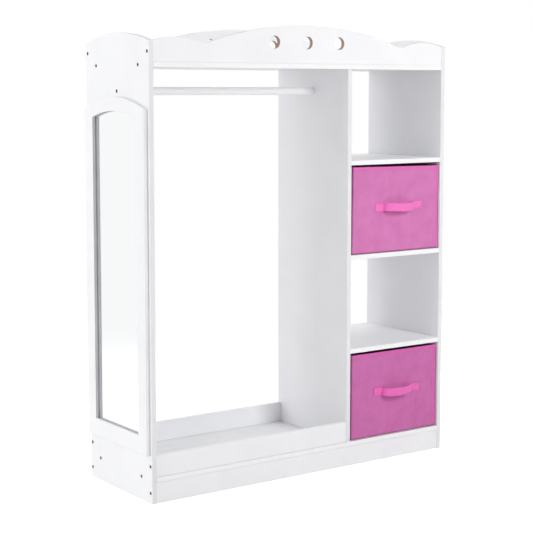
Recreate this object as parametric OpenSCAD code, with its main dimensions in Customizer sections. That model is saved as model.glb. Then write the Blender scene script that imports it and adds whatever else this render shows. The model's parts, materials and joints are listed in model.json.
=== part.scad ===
// Dress-up storage unit: an open wardrobe of white 12 mm boards. A hanging bay with a shoe tray
// stands beside four cubbies, two of which hold fabric bins that slide out, and a framed mirror is
// screwed to the left side panel. Millimetres; +Z is up and the front faces -Y. The origin is in
// the middle of the base of the bounding box, mirror frame and bin handles included.

/* [Carcass] */
// Width over the two side panels
unit_w = 900; // [840:10:1000]
// Depth of the side panels, front to back
unit_d = 300; // [280:5:340]
// Height of the side panels at their front and back corners
side_h = 1075; // [1050:5:1150]
// Rise of the arch along the top edge of a side panel
side_arch_rise = 21.5; // [10:0.5:40]
// Thickness of every board
board_t = 12; // [11:0.5:18]
// Clear width of the bay that holds the cubbies
shelf_bay_w = 300; // [270:5:330]
// Height of the side panels above the top board
gallery_h = 48; // [40:1:60]
// Height of the plinths, and of the bottom board's underside
plinth_h = 51; // [40:1:80]
// Height of the shoe tray's rails above the bottom board
tray_rail_h = 52; // [30:1:90]
// How far aprons, plinths and tray rails stand back from the board edges
rail_inset = 2; // [0:0.5:6]

/* [Aprons] */
// Height of an apron's main hump above the top board
hump_h = 92; // [75:1:110]
// Height of an apron's small end humps above its ends
end_hump_rise = 9.5; // [6:0.5:14]
// Distance from an apron's end to the crest of its end hump
end_hump_in = 60; // [50:1:70]
// Distance from an apron's end to the valley beside its main hump
valley_in = 136; // [120:1:160]
// Radius that rounds the bottom of a valley
valley_r = 53; // [20:1:80]
// Diameter of the three holes in an apron
apron_hole_d = 31; // [20:1:36]
// Distance between the holes
apron_hole_pitch = 98.5; // [60:0.5:110]
// Height of the holes' centres above the top board
apron_hole_h = 50.5; // [40:0.5:60]

/* [Hanging rod] */
// Diameter of the rod
rod_d = 20; // [16:1:30]
// Height of the rod's centre line below the top board
rod_drop = 54.5; // [35:0.5:100]

/* [Mirror] */
// Thickness of the mirror frame
frame_t = 10; // [8:0.5:15]
// Height of the frame's lower edge above the floor
frame_z = 115; // [80:1:130]
// Height of the frame at the crest of its arch
frame_h = 832; // [780:1:860]
// Rise of the arch over the frame's straight sides
frame_arch_rise = 27; // [15:1:40]
// How far the frame stands back from the side panel's front and back edges
frame_inset = 8; // [4:1:20]
// Width of the frame's two upright stiles
stile_w = 38; // [28:1:50]
// Width of the frame's lower rail
lower_rail_w = 43; // [30:1:60]
// Width of the frame's arched upper rail
upper_rail_w = 33; // [28:1:50]
// Thickness of the mirror sheet
mirror_t = 2; // [1.5:0.5:4]
// Width of the frame's ledge in front of the mirror sheet's edges
mirror_lap = 6; // [4:0.5:10]

/* [Bins] */
// Gap between a bin and each side of its cubby
bin_side_gap = 6.5; // [3:0.5:15]
// Gap between a bin's rim and the board above it
bin_top_gap = 7; // [3:0.5:30]
// How far a bin stands back from the front edges of the boards
bin_front_gap = 4; // [0:0.5:10]
// Gap between a bin and the back edges of the boards
bin_rear_gap = 11; // [3:0.5:30]
// Radius of a bin's upright corners
bin_corner_r = 4; // [2:0.5:8]
// Thickness of the bin's cover and of its lining
fabric_t = 0.8; // [0.6:0.1:1.6]
// Thickness of the stiffening boards in a bin's walls
stiffener_t = 2; // [1.5:0.5:3]
// Thickness of the loose board on a bin's floor
base_board_t = 3; // [2:0.5:4]
// Thickness of the binding folded over a bin's rim
binding_t = 0.6; // [0.4:0.1:1]
// Height of the binding
binding_h = 8.5; // [6:0.5:15]

/* [Bin handle] */
// Width of the webbing
strap_w = 20.5; // [15:0.5:30]
// Thickness of the webbing
strap_t = 2; // [1.5:0.5:3]
// Length of the handle over its two sewn tabs
strap_span = 155.5; // [130:0.5:180]
// Length of each sewn tab
strap_tab = 27; // [20:1:35]
// How far the loop stands out in front of the bin's face
strap_reach = 26; // [18:1:35]
// Height of the handle's middle above the middle of the bin
strap_up = 5; // [0:1:20]
// How far the handle's middle lies to the right of the bin's middle
strap_aside = 6; // [-20:1:20]

/* [Fasteners] */
// Distance from the board edges to the screws and dowels in the boards' ends
fixing_in = 50; // [40:1:70]
// Head diameter of the screws that join the boards
screw_head_d = 8; // [7:0.5:9]
// Diameter of their plain shank
screw_shank_d = 5; // [4.5:0.1:5.5]
// Diameter of their threaded part
screw_thread_d = 4; // [3.5:0.1:4.4]
// How far they reach into the second board
screw_hold = 26; // [20:1:32]
// Head diameter of the screws in the mirror frame
frame_screw_head_d = 6.5; // [5.5:0.5:7]
// Diameter of their plain shank
frame_screw_shank_d = 3.2; // [2.8:0.1:3.6]
// Diameter of their threaded part
frame_screw_thread_d = 2.8; // [2.4:0.1:2.8]
// How far they reach into the frame
frame_screw_hold = 6; // [4:0.5:7]
// Diameter of the wooden dowels
dowel_d = 6; // [5:0.5:8]
// Length of the wooden dowels
dowel_len = 25; // [20:1:30]
// Depth of a dowel in the face of the board that it stands on
dowel_seat = 8; // [6:0.5:8.5]
// Distance between the dowels along an apron or a plinth
rail_dowel_pitch = 300; // [280:10:360]
// Distance between the two dowels under a tray rail
tray_dowel_pitch = 220; // [120:10:240]

/* [Hidden] */
$fn = 48;

// Facets on the wide arcs of the outlines
arc_fn = 360;
// Extra length that takes a cut clear of the surface it starts from
past = 1;
// Gap around a screw or dowel in its hole
hole_gap = 0.05;
// Room beyond the end of a screw or dowel in a blind hole
hole_end_gap = 0.5;
// Hexagon sockets in the screws' heads: width across the flats, and depth
board_socket = [4, 3];
frame_socket = [2.5, 1.6];
// Gap between the layers of a bin
layer_gap = 0.1;
// Gap under a bin, so that it slides without touching
bin_lift = 0.3;
// Gap around the loose board on a bin's floor
base_gap = 0.5;
// Gap around the mirror sheet in its rebate
mirror_gap = 0.5;
// Extra depth of the rebate over the thickness of the sheet
rebate_gap = 0.2;

white = [0.95, 0.95, 0.96];
zinc = [0.45, 0.46, 0.48];
beech = [0.82, 0.68, 0.48];
silver = [0.75, 0.80, 0.84];
pink = [0.80, 0.42, 0.66];
bright_pink = [0.95, 0.42, 0.74];
grey_board = [0.62, 0.58, 0.54];

// Levels of the boards. Underside of the top board, and its upper face
top_z = side_h - gallery_h - board_t;
gallery_z = top_z + board_t;
// Upper face of the bottom board, on which the divider and the tray rails stand
floor_z = plinth_h + board_t;
// Clear height of one cubby: four of them share the divider's height with three shelves
cubby_h = (top_z - floor_z - 3 * board_t) / 4;
function shelf_z(n) = floor_z + n * cubby_h + (n - 1) * board_t;
lower_shelf_z = shelf_z(1);
middle_shelf_z = shelf_z(2);
upper_shelf_z = shelf_z(3);

// Widths. Left face of the divider, left face of the shelves, inner face of the right panel
right_x = unit_w - board_t;
shelf_x = right_x - shelf_bay_w;
divider_x = shelf_x - board_t;
hang_bay_w = divider_x - board_t;

// The rails' middle planes, at the front and at the back
rail_y = [rail_inset + board_t / 2, unit_d - rail_inset - board_t / 2];
// Rows of fixings in a board's end
fixing_y = [fixing_in, unit_d - fixing_in];
rod_z = top_z - rod_drop;

// Arch of a side panel
side_arch_r = chord_r(unit_d / 2, side_arch_rise);

// Apron outline, from the apron's middle and the top board's upper face. The end humps' circles
// pass through the apron's ends, and the main hump's through its crest and the bare valleys.
apron_w = unit_w - 2 * board_t;
end_hump_r = chord_r(end_hump_in, end_hump_rise);
end_hump_centre = [apron_w / 2 - end_hump_in, gallery_h + end_hump_rise - end_hump_r];
valley_x = apron_w / 2 - valley_in;
valley_y = end_hump_centre[1] + sqrt(pow(end_hump_r, 2) - pow(valley_in - end_hump_in, 2));
hump_r = chord_r(valley_x, hump_h - valley_y);
hump_centre = [0, hump_h - hump_r];
// The circle that rounds a valley lies on both humps, sunk into them just enough to cross their
// curves. The valley is filled up to it, between the two places where it is sunk deepest.
valley_sink = 0.05;
valley_centre = upper_meeting(
    hump_centre, hump_r + valley_r - valley_sink, end_hump_centre, end_hump_r + valley_r - valley_sink
);
valley_start_x = toward(hump_centre, hump_r, valley_centre)[0];
valley_end_x = toward(end_hump_centre, end_hump_r, valley_centre)[0];

// Frame outline, measured from the middle of the frame's lower edge
frame_w = unit_d - 2 * frame_inset;
frame_arch_r = chord_r(frame_w / 2, frame_arch_rise);
opening_w = frame_w - 2 * stile_w;
rebate_t = mirror_t + rebate_gap;
// Screws in the middle of each stile: one near each end and one half way up
frame_screw_end = 20;
frame_screw_z = [
    lower_rail_w + frame_screw_end, frame_h / 2,
    frame_h - frame_arch_rise - upper_rail_w - frame_screw_end
];

// Bins. A bin's own corner is at the left front of its underside
bin_w = shelf_bay_w - 2 * bin_side_gap;
bin_d = unit_d - bin_front_gap - bin_rear_gap;
bin_h = cubby_h - bin_top_gap - bin_lift;
upper_bin_z = middle_shelf_z + board_t + bin_lift;
lower_bin_z = floor_z + bin_lift;
// Depth below the binding's outer face of each layer of a wall. What is sewn on the cover, the
// binding and the handle, has its back at sewn_in.
cover_in = binding_t;
sewn_in = cover_in - layer_gap / 2;
stiffener_in = cover_in + fabric_t + layer_gap;
lining_in = stiffener_in + stiffener_t + layer_gap;
wall_in = lining_in + fabric_t;
// Heights of the layers: the walls end under the binding's fold
wall_top = bin_h - binding_t - layer_gap;
lining_floor = fabric_t + layer_gap;
strap_z = bin_h / 2 + strap_up;

// Circle of the handle's loop, through both tabs' inner ends
loop_half = strap_span / 2 - strap_tab;
loop_r = chord_r(loop_half, strap_reach - strap_t);

// Dowels across the unit: three under each apron and over each plinth, two under each tray rail
rail_dowel_x = [for (n = [-1:1]) unit_w / 2 + n * rail_dowel_pitch];
tray_dowel_x = [for (side = [-1, 1]) board_t + (hang_bay_w + side * tray_dowel_pitch) / 2];

// Middle of the bounding box
front_y = min(0, bin_front_gap + sewn_in - strap_reach);
box_middle = [(unit_w - frame_t) / 2, (unit_d + front_y) / 2, 0];

// Radius of the circle through the ends of a chord and the crest that rises above its middle
function chord_r(half_chord, rise) = (pow(half_chord, 2) + pow(rise, 2)) / (2 * rise);

// Where the circles of radius a_r and b_r around a and b meet, left of the way from a to b
function upper_meeting(a, a_r, b, b_r) =
    let (span = norm(b - a), along = (b - a) / span)
    let (reach = (pow(span, 2) + pow(a_r, 2) - pow(b_r, 2)) / (2 * span))
    let (rise = sqrt(pow(a_r, 2) - pow(reach, 2)))
    a + reach * along + rise * [-along[1], along[0]];

// Point of the circle around a that faces b
function toward(a, radius, b) = a + radius * (b - a) / norm(b - a);

// Sites [y, z] of the screws in a side panel: two in a board's end, or one in each rail's end
function board_sites(z) = [for (y = fixing_y) [y, z + board_t / 2]];
function rail_sites(z) = [for (y = rail_y) [y, z]];
apron_sites = rail_sites(gallery_z + gallery_h / 2);
plinth_sites = rail_sites(plinth_h / 2);
tray_sites = rail_sites(floor_z + tray_rail_h / 2);
rod_sites = [[unit_d / 2, rod_z]];
shared_sites = concat(board_sites(top_z), board_sites(plinth_h), apron_sites, plinth_sites);
shelf_sites = [for (n = [1:3]) each board_sites(shelf_z(n))];

// Everything is drawn from the left side panel's outer, front, lower corner
module placed() {
    translate(-box_middle) children();
}

// ---- fasteners ----

// Countersunk screw along +Z from the face it is driven into: its plain shank fills the board
// that it clamps, and its thread holds the next one. With a gap it is the shape of its own hole.
module screw_form(head_d, shank_d, thread_d, hold, gap = 0) {
    sunk = 0.2;
    rim = 0.6;
    start = gap > 0 ? -past : sunk;
    cone_z = sunk + rim;
    end = board_t + hold + (gap > 0 ? hole_end_gap : 0);
    head_r = head_d / 2 + gap;
    shank_r = shank_d / 2 + gap;
    thread_r = thread_d / 2 + gap;
    rotate_extrude()
        polygon([
            [0, start], [head_r, start], [head_r, cone_z], [shank_r, cone_z + head_r - shank_r],
            [shank_r, board_t], [thread_r, board_t], [thread_r, end - thread_r], [0, end]
        ]);
}

module socket(size) {
    cylinder(d = size[0] / cos(30), h = size[1], $fn = 6);
}

module board_screw_form(gap = 0) {
    screw_form(screw_head_d, screw_shank_d, screw_thread_d, screw_hold, gap);
}

module frame_screw_form(gap = 0) {
    screw_form(frame_screw_head_d, frame_screw_shank_d, frame_screw_thread_d, frame_screw_hold, gap);
}

module board_screw() {
    difference() {
        board_screw_form();
        socket(board_socket);
    }
}

module board_screw_hole() {
    board_screw_form(hole_gap);
}

module frame_screw() {
    difference() {
        frame_screw_form();
        socket(frame_socket);
    }
}

module frame_screw_hole() {
    frame_screw_form(hole_gap);
}

// Chamfered dowel along Z: its seat is below z = 0 and the rest is above
module dowel() {
    chamfer = 0.8;
    radius = dowel_d / 2;
    low = -dowel_seat;
    high = dowel_len - dowel_seat;
    rotate_extrude()
        polygon([
            [0, low], [radius - chamfer, low], [radius, low + chamfer],
            [radius, high - chamfer], [radius - chamfer, high], [0, high]
        ]);
}

module dowel_hole() {
    translate([0, 0, -dowel_seat - hole_end_gap])
        cylinder(d = dowel_d + 2 * hole_gap, h = dowel_len + 2 * hole_end_gap);
}

// ---- sites of the fasteners ----

module from_left(sites) {
    for (site = sites) translate([0, site[0], site[1]]) rotate([0, 90, 0]) children();
}

module from_right(sites) {
    for (site = sites) translate([unit_w, site[0], site[1]]) rotate([0, -90, 0]) children();
}

// From the cubbies through the divider into the tray rails and the rod
module from_divider() {
    for (site = concat(tray_sites, rod_sites))
        translate([shelf_x, site[0], site[1]]) rotate([0, -90, 0]) children();
}

// Down through the top board into the divider
module from_top() {
    for (y = fixing_y) translate([divider_x + board_t / 2, y, gallery_z]) rotate([180, 0, 0]) children();
}

// Up through the bottom board into the divider
module from_below() {
    for (y = fixing_y) translate([divider_x + board_t / 2, y, plinth_h]) children();
}

// From inside the left side panel into the mirror frame's stiles
module from_hanging_bay() {
    for (y = [frame_inset + stile_w / 2, unit_d - frame_inset - stile_w / 2])
        for (z = frame_screw_z)
            translate([board_t, y, frame_z + z]) rotate([0, -90, 0]) children();
}

// Between the divider and the left end of the shelf whose underside is at z
module shelf_dowel_sites(z) {
    for (y = fixing_y) translate([shelf_x, y, z + board_t / 2]) rotate([0, 90, 0]) children();
}

module apron_dowel_sites() {
    for (x = rail_dowel_x) for (y = rail_y) translate([x, y, gallery_z]) children();
}

module plinth_dowel_sites() {
    for (x = rail_dowel_x) for (y = rail_y) translate([x, y, plinth_h]) rotate([180, 0, 0]) children();
}

module tray_dowel_sites() {
    for (x = tray_dowel_x) for (y = rail_y) translate([x, y, floor_z]) children();
}

// ---- boards ----

// Outline of a side panel: a rectangle under an arch
module side_outline() {
    intersection() {
        square([unit_d, side_h + side_arch_rise]);
        union() {
            square([unit_d, side_h]);
            translate([unit_d / 2, side_h + side_arch_rise - side_arch_r]) circle(r = side_arch_r, $fn = arc_fn);
        }
    }
}

module side_blank() {
    rotate([90, 0, 90]) linear_extrude(board_t) side_outline();
}

module left_side_panel() {
    color(white) difference() {
        side_blank();
        from_left(concat(shared_sites, tray_sites, rod_sites)) board_screw_hole();
        from_hanging_bay() frame_screw_hole();
    }
}

module right_side_panel() {
    color(white) difference() {
        translate([right_x, 0, 0]) side_blank();
        from_right(concat(shared_sites, shelf_sites)) board_screw_hole();
    }
}

module divider_panel() {
    color(white) difference() {
        translate([divider_x, 0, floor_z]) cube([board_t, unit_d, top_z - floor_z]);
        from_divider() board_screw_hole();
        from_top() board_screw_hole();
        from_below() board_screw_hole();
        for (n = [1:3]) shelf_dowel_sites(shelf_z(n)) dowel_hole();
    }
}

// Board between the side panels, screwed through both of them
module wide_board(z) {
    difference() {
        translate([board_t, 0, z]) cube([apron_w, unit_d, board_t]);
        from_left(board_sites(z)) board_screw_hole();
        from_right(board_sites(z)) board_screw_hole();
    }
}

module top_board() {
    color(white) difference() {
        wide_board(top_z);
        from_top() board_screw_hole();
        apron_dowel_sites() dowel_hole();
    }
}

module bottom_board() {
    color(white) difference() {
        wide_board(plinth_h);
        from_below() board_screw_hole();
        plinth_dowel_sites() dowel_hole();
        tray_dowel_sites() dowel_hole();
    }
}

// Shelf with its underside at z: dowelled to the divider, screwed to the right side panel
module shelf(z) {
    color(white) difference() {
        translate([shelf_x, 0, z]) cube([shelf_bay_w, unit_d, board_t]);
        shelf_dowel_sites(z) dowel_hole();
        from_right(board_sites(z)) board_screw_hole();
    }
}

module upper_shelf() { shelf(upper_shelf_z); }
module middle_shelf() { shelf(middle_shelf_z); }
module lower_shelf() { shelf(lower_shelf_z); }

// Part of a circle's disc above the top board and between an apron's ends
module hump(centre, radius) {
    intersection() {
        translate([-apron_w / 2, 0]) square([apron_w, hump_h + past]);
        translate(centre) circle(r = radius, $fn = arc_fn);
    }
}

// Fill under the circle that rounds the valley on one side, -1 or 1
module valley_fill(side) {
    width = valley_end_x - valley_start_x;
    difference() {
        translate([side * (valley_start_x + valley_end_x) / 2 - width / 2, 0]) square([width, valley_centre[1]]);
        translate([side * valley_centre[0], valley_centre[1]]) circle(r = valley_r, $fn = arc_fn);
    }
}

// Outline of an apron, from its middle and from the top board's upper face
module apron_outline() {
    difference() {
        union() {
            hump(hump_centre, hump_r);
            for (side = [-1, 1]) {
                hump([side * end_hump_centre[0], end_hump_centre[1]], end_hump_r);
                valley_fill(side);
            }
        }
        for (n = [-1:1]) translate([n * apron_hole_pitch, apron_hole_h]) circle(d = apron_hole_d);
    }
}

// Apron whose middle plane is at y
module apron(y) {
    color(white) difference() {
        translate([unit_w / 2, y + board_t / 2, gallery_z])
            rotate([90, 0, 0]) linear_extrude(board_t) apron_outline();
        from_left(apron_sites) board_screw_hole();
        from_right(apron_sites) board_screw_hole();
        apron_dowel_sites() dowel_hole();
    }
}

module front_apron() { apron(rail_y[0]); }
module rear_apron() { apron(rail_y[1]); }

// Plinth whose middle plane is at y
module plinth(y) {
    color(white) difference() {
        translate([board_t, y - board_t / 2, 0]) cube([apron_w, board_t, plinth_h]);
        from_left(plinth_sites) board_screw_hole();
        from_right(plinth_sites) board_screw_hole();
        plinth_dowel_sites() dowel_hole();
    }
}

module front_plinth() { plinth(rail_y[0]); }
module rear_plinth() { plinth(rail_y[1]); }

// Rail of the shoe tray whose middle plane is at y
module tray_rail(y) {
    color(white) difference() {
        translate([board_t, y - board_t / 2, floor_z]) cube([hang_bay_w, board_t, tray_rail_h]);
        from_left(tray_sites) board_screw_hole();
        from_divider() board_screw_hole();
        tray_dowel_sites() dowel_hole();
    }
}

module tray_front_rail() { tray_rail(rail_y[0]); }
module tray_rear_rail() { tray_rail(rail_y[1]); }

module hanging_rod() {
    color(white) difference() {
        translate([board_t, unit_d / 2, rod_z]) rotate([0, 90, 0]) cylinder(d = rod_d, h = hang_bay_w);
        from_left(rod_sites) board_screw_hole();
        from_divider() board_screw_hole();
    }
}

// ---- mirror ----

// Straight-sided panel under an arch that is concentric with the frame's own. Its edges lie these
// distances inside the frame's: at the sides, at the bottom and along the arch.
module arched_outline(side_in, bottom_in, arch_in) {
    width = frame_w - 2 * side_in;
    radius = frame_arch_r - arch_in;
    arch_y = frame_h - frame_arch_r;
    intersection() {
        translate([-width / 2, bottom_in]) square([width, frame_h]);
        union() {
            translate([-width / 2, 0]) square([width, arch_y]);
            translate([0, arch_y]) circle(r = radius, $fn = arc_fn);
        }
    }
}

// Slab with an arched outline on the left side panel's outer face, from depth low to depth high
module on_left_panel(low, high) {
    translate([-high, unit_d / 2, frame_z]) rotate([90, 0, 90]) linear_extrude(high - low) children();
}

module mirror_frame() {
    color(white) difference() {
        on_left_panel(0, frame_t) arched_outline(0, 0, 0);
        on_left_panel(-past, frame_t + past) arched_outline(stile_w, lower_rail_w, upper_rail_w);
        on_left_panel(-past, rebate_t)
            arched_outline(stile_w - mirror_lap, lower_rail_w - mirror_lap, upper_rail_w - mirror_lap);
        from_hanging_bay() frame_screw_hole();
    }
}

module mirror_sheet() {
    edge = mirror_lap - mirror_gap;
    color(silver) on_left_panel(0, mirror_t) arched_outline(stile_w - edge, lower_rail_w - edge, upper_rail_w - edge);
}

// ---- fastener groups ----

module left_panel_screws() {
    color(zinc) from_left(concat(shared_sites, tray_sites, rod_sites)) board_screw();
}

module right_panel_screws() {
    color(zinc) from_right(concat(shared_sites, shelf_sites)) board_screw();
}

module divider_end_screws() {
    color(zinc) {
        from_top() board_screw();
        from_below() board_screw();
    }
}

module divider_side_screws() {
    color(zinc) from_divider() board_screw();
}

module mirror_frame_screws() {
    color(zinc) from_hanging_bay() frame_screw();
}

module shelf_dowels() {
    color(beech) for (n = [1:3]) shelf_dowel_sites(shelf_z(n)) dowel();
}

module apron_dowels() {
    color(beech) apron_dowel_sites() dowel();
}

module plinth_dowels() {
    color(beech) plinth_dowel_sites() dowel();
}

module tray_dowels() {
    color(beech) tray_dowel_sites() dowel();
}

// ---- bins ----

// Block with rounded upright edges, inset from the bin's own box on its four sides
module bin_block(inset, low, high, radius) {
    width = bin_w - 2 * inset;
    depth = bin_d - 2 * inset;
    translate([inset, inset, low]) linear_extrude(high - low) {
        translate([radius, 0]) square([width - 2 * radius, depth]);
        translate([0, radius]) square([width, depth - 2 * radius]);
        for (x = [radius, width - radius]) for (y = [radius, depth - radius]) translate([x, y]) circle(r = radius);
    }
}

// Square-cornered block with the same inset, from a level up past the rim
module bin_core(inset, low) {
    translate([inset, inset, low]) cube([bin_w - 2 * inset, bin_d - 2 * inset, bin_h - low + past]);
}

// Sewn outer shell: four walls and a floor
module cover() {
    color(pink) difference() {
        bin_block(cover_in, 0, wall_top, bin_corner_r);
        bin_block(cover_in + fabric_t, fabric_t, bin_h + past, bin_corner_r - fabric_t);
    }
}

// Inner shell, inside the stiffening boards
module lining() {
    color(pink) difference() {
        translate([lining_in, lining_in, lining_floor])
            cube([bin_w - 2 * lining_in, bin_d - 2 * lining_in, wall_top - lining_floor]);
        bin_core(wall_in, lining_floor + fabric_t);
    }
}

// Strip folded over the rim, down the outside and the inside of the walls
module binding() {
    leg_in = wall_in + layer_gap / 2;
    low = bin_h - binding_h;
    color(bright_pink) difference() {
        bin_block(0, low, bin_h, bin_corner_r + binding_t);
        // the walls' layers, between its two legs
        difference() {
            bin_block(sewn_in, low - past, wall_top + layer_gap / 2, bin_corner_r);
            bin_core(leg_in, low - past);
        }
        // the bin's mouth
        bin_core(leg_in + binding_t, low - past);
    }
}

// Board inside a wall, standing on the cover's floor
module wall_stiffener(at, size) {
    color(grey_board) translate([at[0], at[1], lining_floor])
        cube([size[0], size[1], wall_top - lining_floor]);
}

// Front and rear stiffeners end where the cover's corners start to curve
module front_stiffener(y = stiffener_in) {
    inset = cover_in + bin_corner_r;
    wall_stiffener([inset, y], [bin_w - 2 * inset, stiffener_t]);
}

module rear_stiffener() {
    front_stiffener(bin_d - stiffener_in - stiffener_t);
}

// Left and right stiffeners stand between the front and rear ones, and clear of the corners too
module left_stiffener(x = stiffener_in) {
    inset = max(lining_in, cover_in + bin_corner_r);
    wall_stiffener([x, inset], [stiffener_t, bin_d - 2 * inset]);
}

module right_stiffener() {
    left_stiffener(bin_w - stiffener_in - stiffener_t);
}

// Loose board on the lining's floor
module base_board() {
    inset = wall_in + base_gap;
    color(pink) translate([inset, inset, lining_floor + fabric_t + layer_gap])
        cube([bin_w - 2 * inset, bin_d - 2 * inset, base_board_t]);
}

// Webbing handle: a flat tab sewn down at each end and a loop between them that stands out
module handle() {
    color(bright_pink) translate([bin_w / 2 + strap_aside, sewn_in, strap_z - strap_w / 2])
        linear_extrude(strap_w) {
            for (x = [-strap_span / 2, loop_half - strap_t])
                translate([x, -strap_t]) square([strap_tab + strap_t, strap_t]);
            intersection() {
                translate([-strap_span / 2, -strap_reach]) square([strap_span, strap_reach]);
                translate([0, loop_r - strap_reach]) difference() {
                    circle(r = loop_r, $fn = arc_fn);
                    circle(r = loop_r - strap_t, $fn = arc_fn);
                }
            }
        }
}

module in_upper_bin() {
    translate([shelf_x + bin_side_gap, bin_front_gap, upper_bin_z]) children();
}

module in_lower_bin() {
    translate([shelf_x + bin_side_gap, bin_front_gap, lower_bin_z]) children();
}

module upper_bin_cover() { in_upper_bin() cover(); }
module upper_bin_lining() { in_upper_bin() lining(); }
module upper_bin_binding() { in_upper_bin() binding(); }
module upper_bin_handle() { in_upper_bin() handle(); }
module upper_bin_front_stiffener() { in_upper_bin() front_stiffener(); }
module upper_bin_rear_stiffener() { in_upper_bin() rear_stiffener(); }
module upper_bin_left_stiffener() { in_upper_bin() left_stiffener(); }
module upper_bin_right_stiffener() { in_upper_bin() right_stiffener(); }
module upper_bin_base_board() { in_upper_bin() base_board(); }
module lower_bin_cover() { in_lower_bin() cover(); }
module lower_bin_lining() { in_lower_bin() lining(); }
module lower_bin_binding() { in_lower_bin() binding(); }
module lower_bin_handle() { in_lower_bin() handle(); }
module lower_bin_front_stiffener() { in_lower_bin() front_stiffener(); }
module lower_bin_rear_stiffener() { in_lower_bin() rear_stiffener(); }
module lower_bin_left_stiffener() { in_lower_bin() left_stiffener(); }
module lower_bin_right_stiffener() { in_lower_bin() right_stiffener(); }
module lower_bin_base_board() { in_lower_bin() base_board(); }

placed() left_side_panel();
placed() right_side_panel();
placed() divider_panel();
placed() top_board();
placed() bottom_board();
placed() upper_shelf();
placed() middle_shelf();
placed() lower_shelf();
placed() front_apron();
placed() rear_apron();
placed() front_plinth();
placed() rear_plinth();
placed() tray_front_rail();
placed() tray_rear_rail();
placed() hanging_rod();
placed() mirror_frame();
placed() mirror_sheet();
placed() left_panel_screws();
placed() right_panel_screws();
placed() divider_end_screws();
placed() divider_side_screws();
placed() mirror_frame_screws();
placed() shelf_dowels();
placed() apron_dowels();
placed() plinth_dowels();
placed() tray_dowels();
placed() upper_bin_cover();
placed() upper_bin_lining();
placed() upper_bin_binding();
placed() upper_bin_handle();
placed() upper_bin_front_stiffener();
placed() upper_bin_rear_stiffener();
placed() upper_bin_left_stiffener();
placed() upper_bin_right_stiffener();
placed() upper_bin_base_board();
placed() lower_bin_cover();
placed() lower_bin_lining();
placed() lower_bin_binding();
placed() lower_bin_handle();
placed() lower_bin_front_stiffener();
placed() lower_bin_rear_stiffener();
placed() lower_bin_left_stiffener();
placed() lower_bin_right_stiffener();
placed() lower_bin_base_board();
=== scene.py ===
# %% [markdown]
# # A dress-up storage unit, dressed for its picture
#
# The real thing is a child's open wardrobe. White fibreboard panels hold a hanging rod over a shoe
# tray, four cubbies stand beside them, two of the cubbies hold pink fabric bins with webbing
# handles, and an arched frame on the left panel carries a mirror. The loaded model gives every
# piece its true size and place. This script gives the pieces their surfaces.

import json

import bmesh
import bpy
import numpy as np
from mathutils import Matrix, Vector

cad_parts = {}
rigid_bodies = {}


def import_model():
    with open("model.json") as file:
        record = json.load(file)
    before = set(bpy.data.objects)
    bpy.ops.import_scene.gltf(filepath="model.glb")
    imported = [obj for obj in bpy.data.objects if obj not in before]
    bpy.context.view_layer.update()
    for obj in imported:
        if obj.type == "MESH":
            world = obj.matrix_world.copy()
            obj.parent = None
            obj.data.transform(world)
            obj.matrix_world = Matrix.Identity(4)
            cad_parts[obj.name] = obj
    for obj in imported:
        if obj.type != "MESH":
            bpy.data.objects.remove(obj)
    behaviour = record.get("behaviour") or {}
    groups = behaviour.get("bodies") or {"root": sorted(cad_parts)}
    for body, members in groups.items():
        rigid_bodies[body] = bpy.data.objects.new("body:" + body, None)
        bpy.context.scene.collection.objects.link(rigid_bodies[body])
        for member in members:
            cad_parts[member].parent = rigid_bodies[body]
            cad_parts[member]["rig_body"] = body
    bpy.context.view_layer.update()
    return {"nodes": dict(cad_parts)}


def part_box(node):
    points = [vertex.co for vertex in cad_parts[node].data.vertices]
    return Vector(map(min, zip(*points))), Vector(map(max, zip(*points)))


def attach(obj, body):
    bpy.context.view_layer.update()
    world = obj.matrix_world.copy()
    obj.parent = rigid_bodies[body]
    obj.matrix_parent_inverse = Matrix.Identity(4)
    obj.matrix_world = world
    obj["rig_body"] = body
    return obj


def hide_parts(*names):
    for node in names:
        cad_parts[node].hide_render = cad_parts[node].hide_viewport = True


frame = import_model()

# %% [markdown]
# ## The camera
#
# The picture was taken from the left and a little below the top of the unit, with a long lens. The
# camera's place was found by matching the corners of the boards, so it goes in as plain numbers:
# where it stands, how far it turns to the right, how far it looks down, and its focal length. The
# lens is shifted down a little, because the upright edges in the picture lean in less than a camera
# that looks down would draw them.

# %% Camera
CAMERA_PLACE = (-2.0367, -2.8561, 0.9603)
CAMERA_TURN = np.radians(35.209)
CAMERA_DROP = np.radians(5.823)
CAMERA_LENS = 93.17
CAMERA_SENSOR = 36.0
CAMERA_SHIFT = -0.065


def new_object(name, data):
    """An object with this data, linked into the scene."""
    made = bpy.data.objects.new(name, data)
    bpy.context.scene.collection.objects.link(made)
    return made


def aimed_object(name, data, place, direction):
    """A camera or a lamp at this place that looks along this direction, with its top upwards."""
    made = new_object(name, data)
    made.location = place
    made.rotation_euler = direction.to_track_quat("-Z", "Y").to_euler()
    return made


camera_data = bpy.data.cameras.new("picture_camera")
camera_data.lens = CAMERA_LENS
camera_data.sensor_width = CAMERA_SENSOR
camera_data.shift_y = CAMERA_SHIFT
looking = Vector((
    np.sin(CAMERA_TURN) * np.cos(CAMERA_DROP),
    np.cos(CAMERA_TURN) * np.cos(CAMERA_DROP),
    -np.sin(CAMERA_DROP),
))
bpy.context.scene.camera = aimed_object("picture_camera", camera_data, CAMERA_PLACE, looking)
print("camera looks along:", [round(v, 3) for v in looking])

# %% [markdown]
# ## Helpers for materials
#
# A finish is a small tree of shader nodes. Two helpers carry the rest: one adds a node and fills its
# inputs with numbers or links, the other starts a material and hands back its shader. Patterns read
# Object coordinates, which are metres on the piece, so a scale of 1000 makes features one
# millimetre wide.


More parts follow.
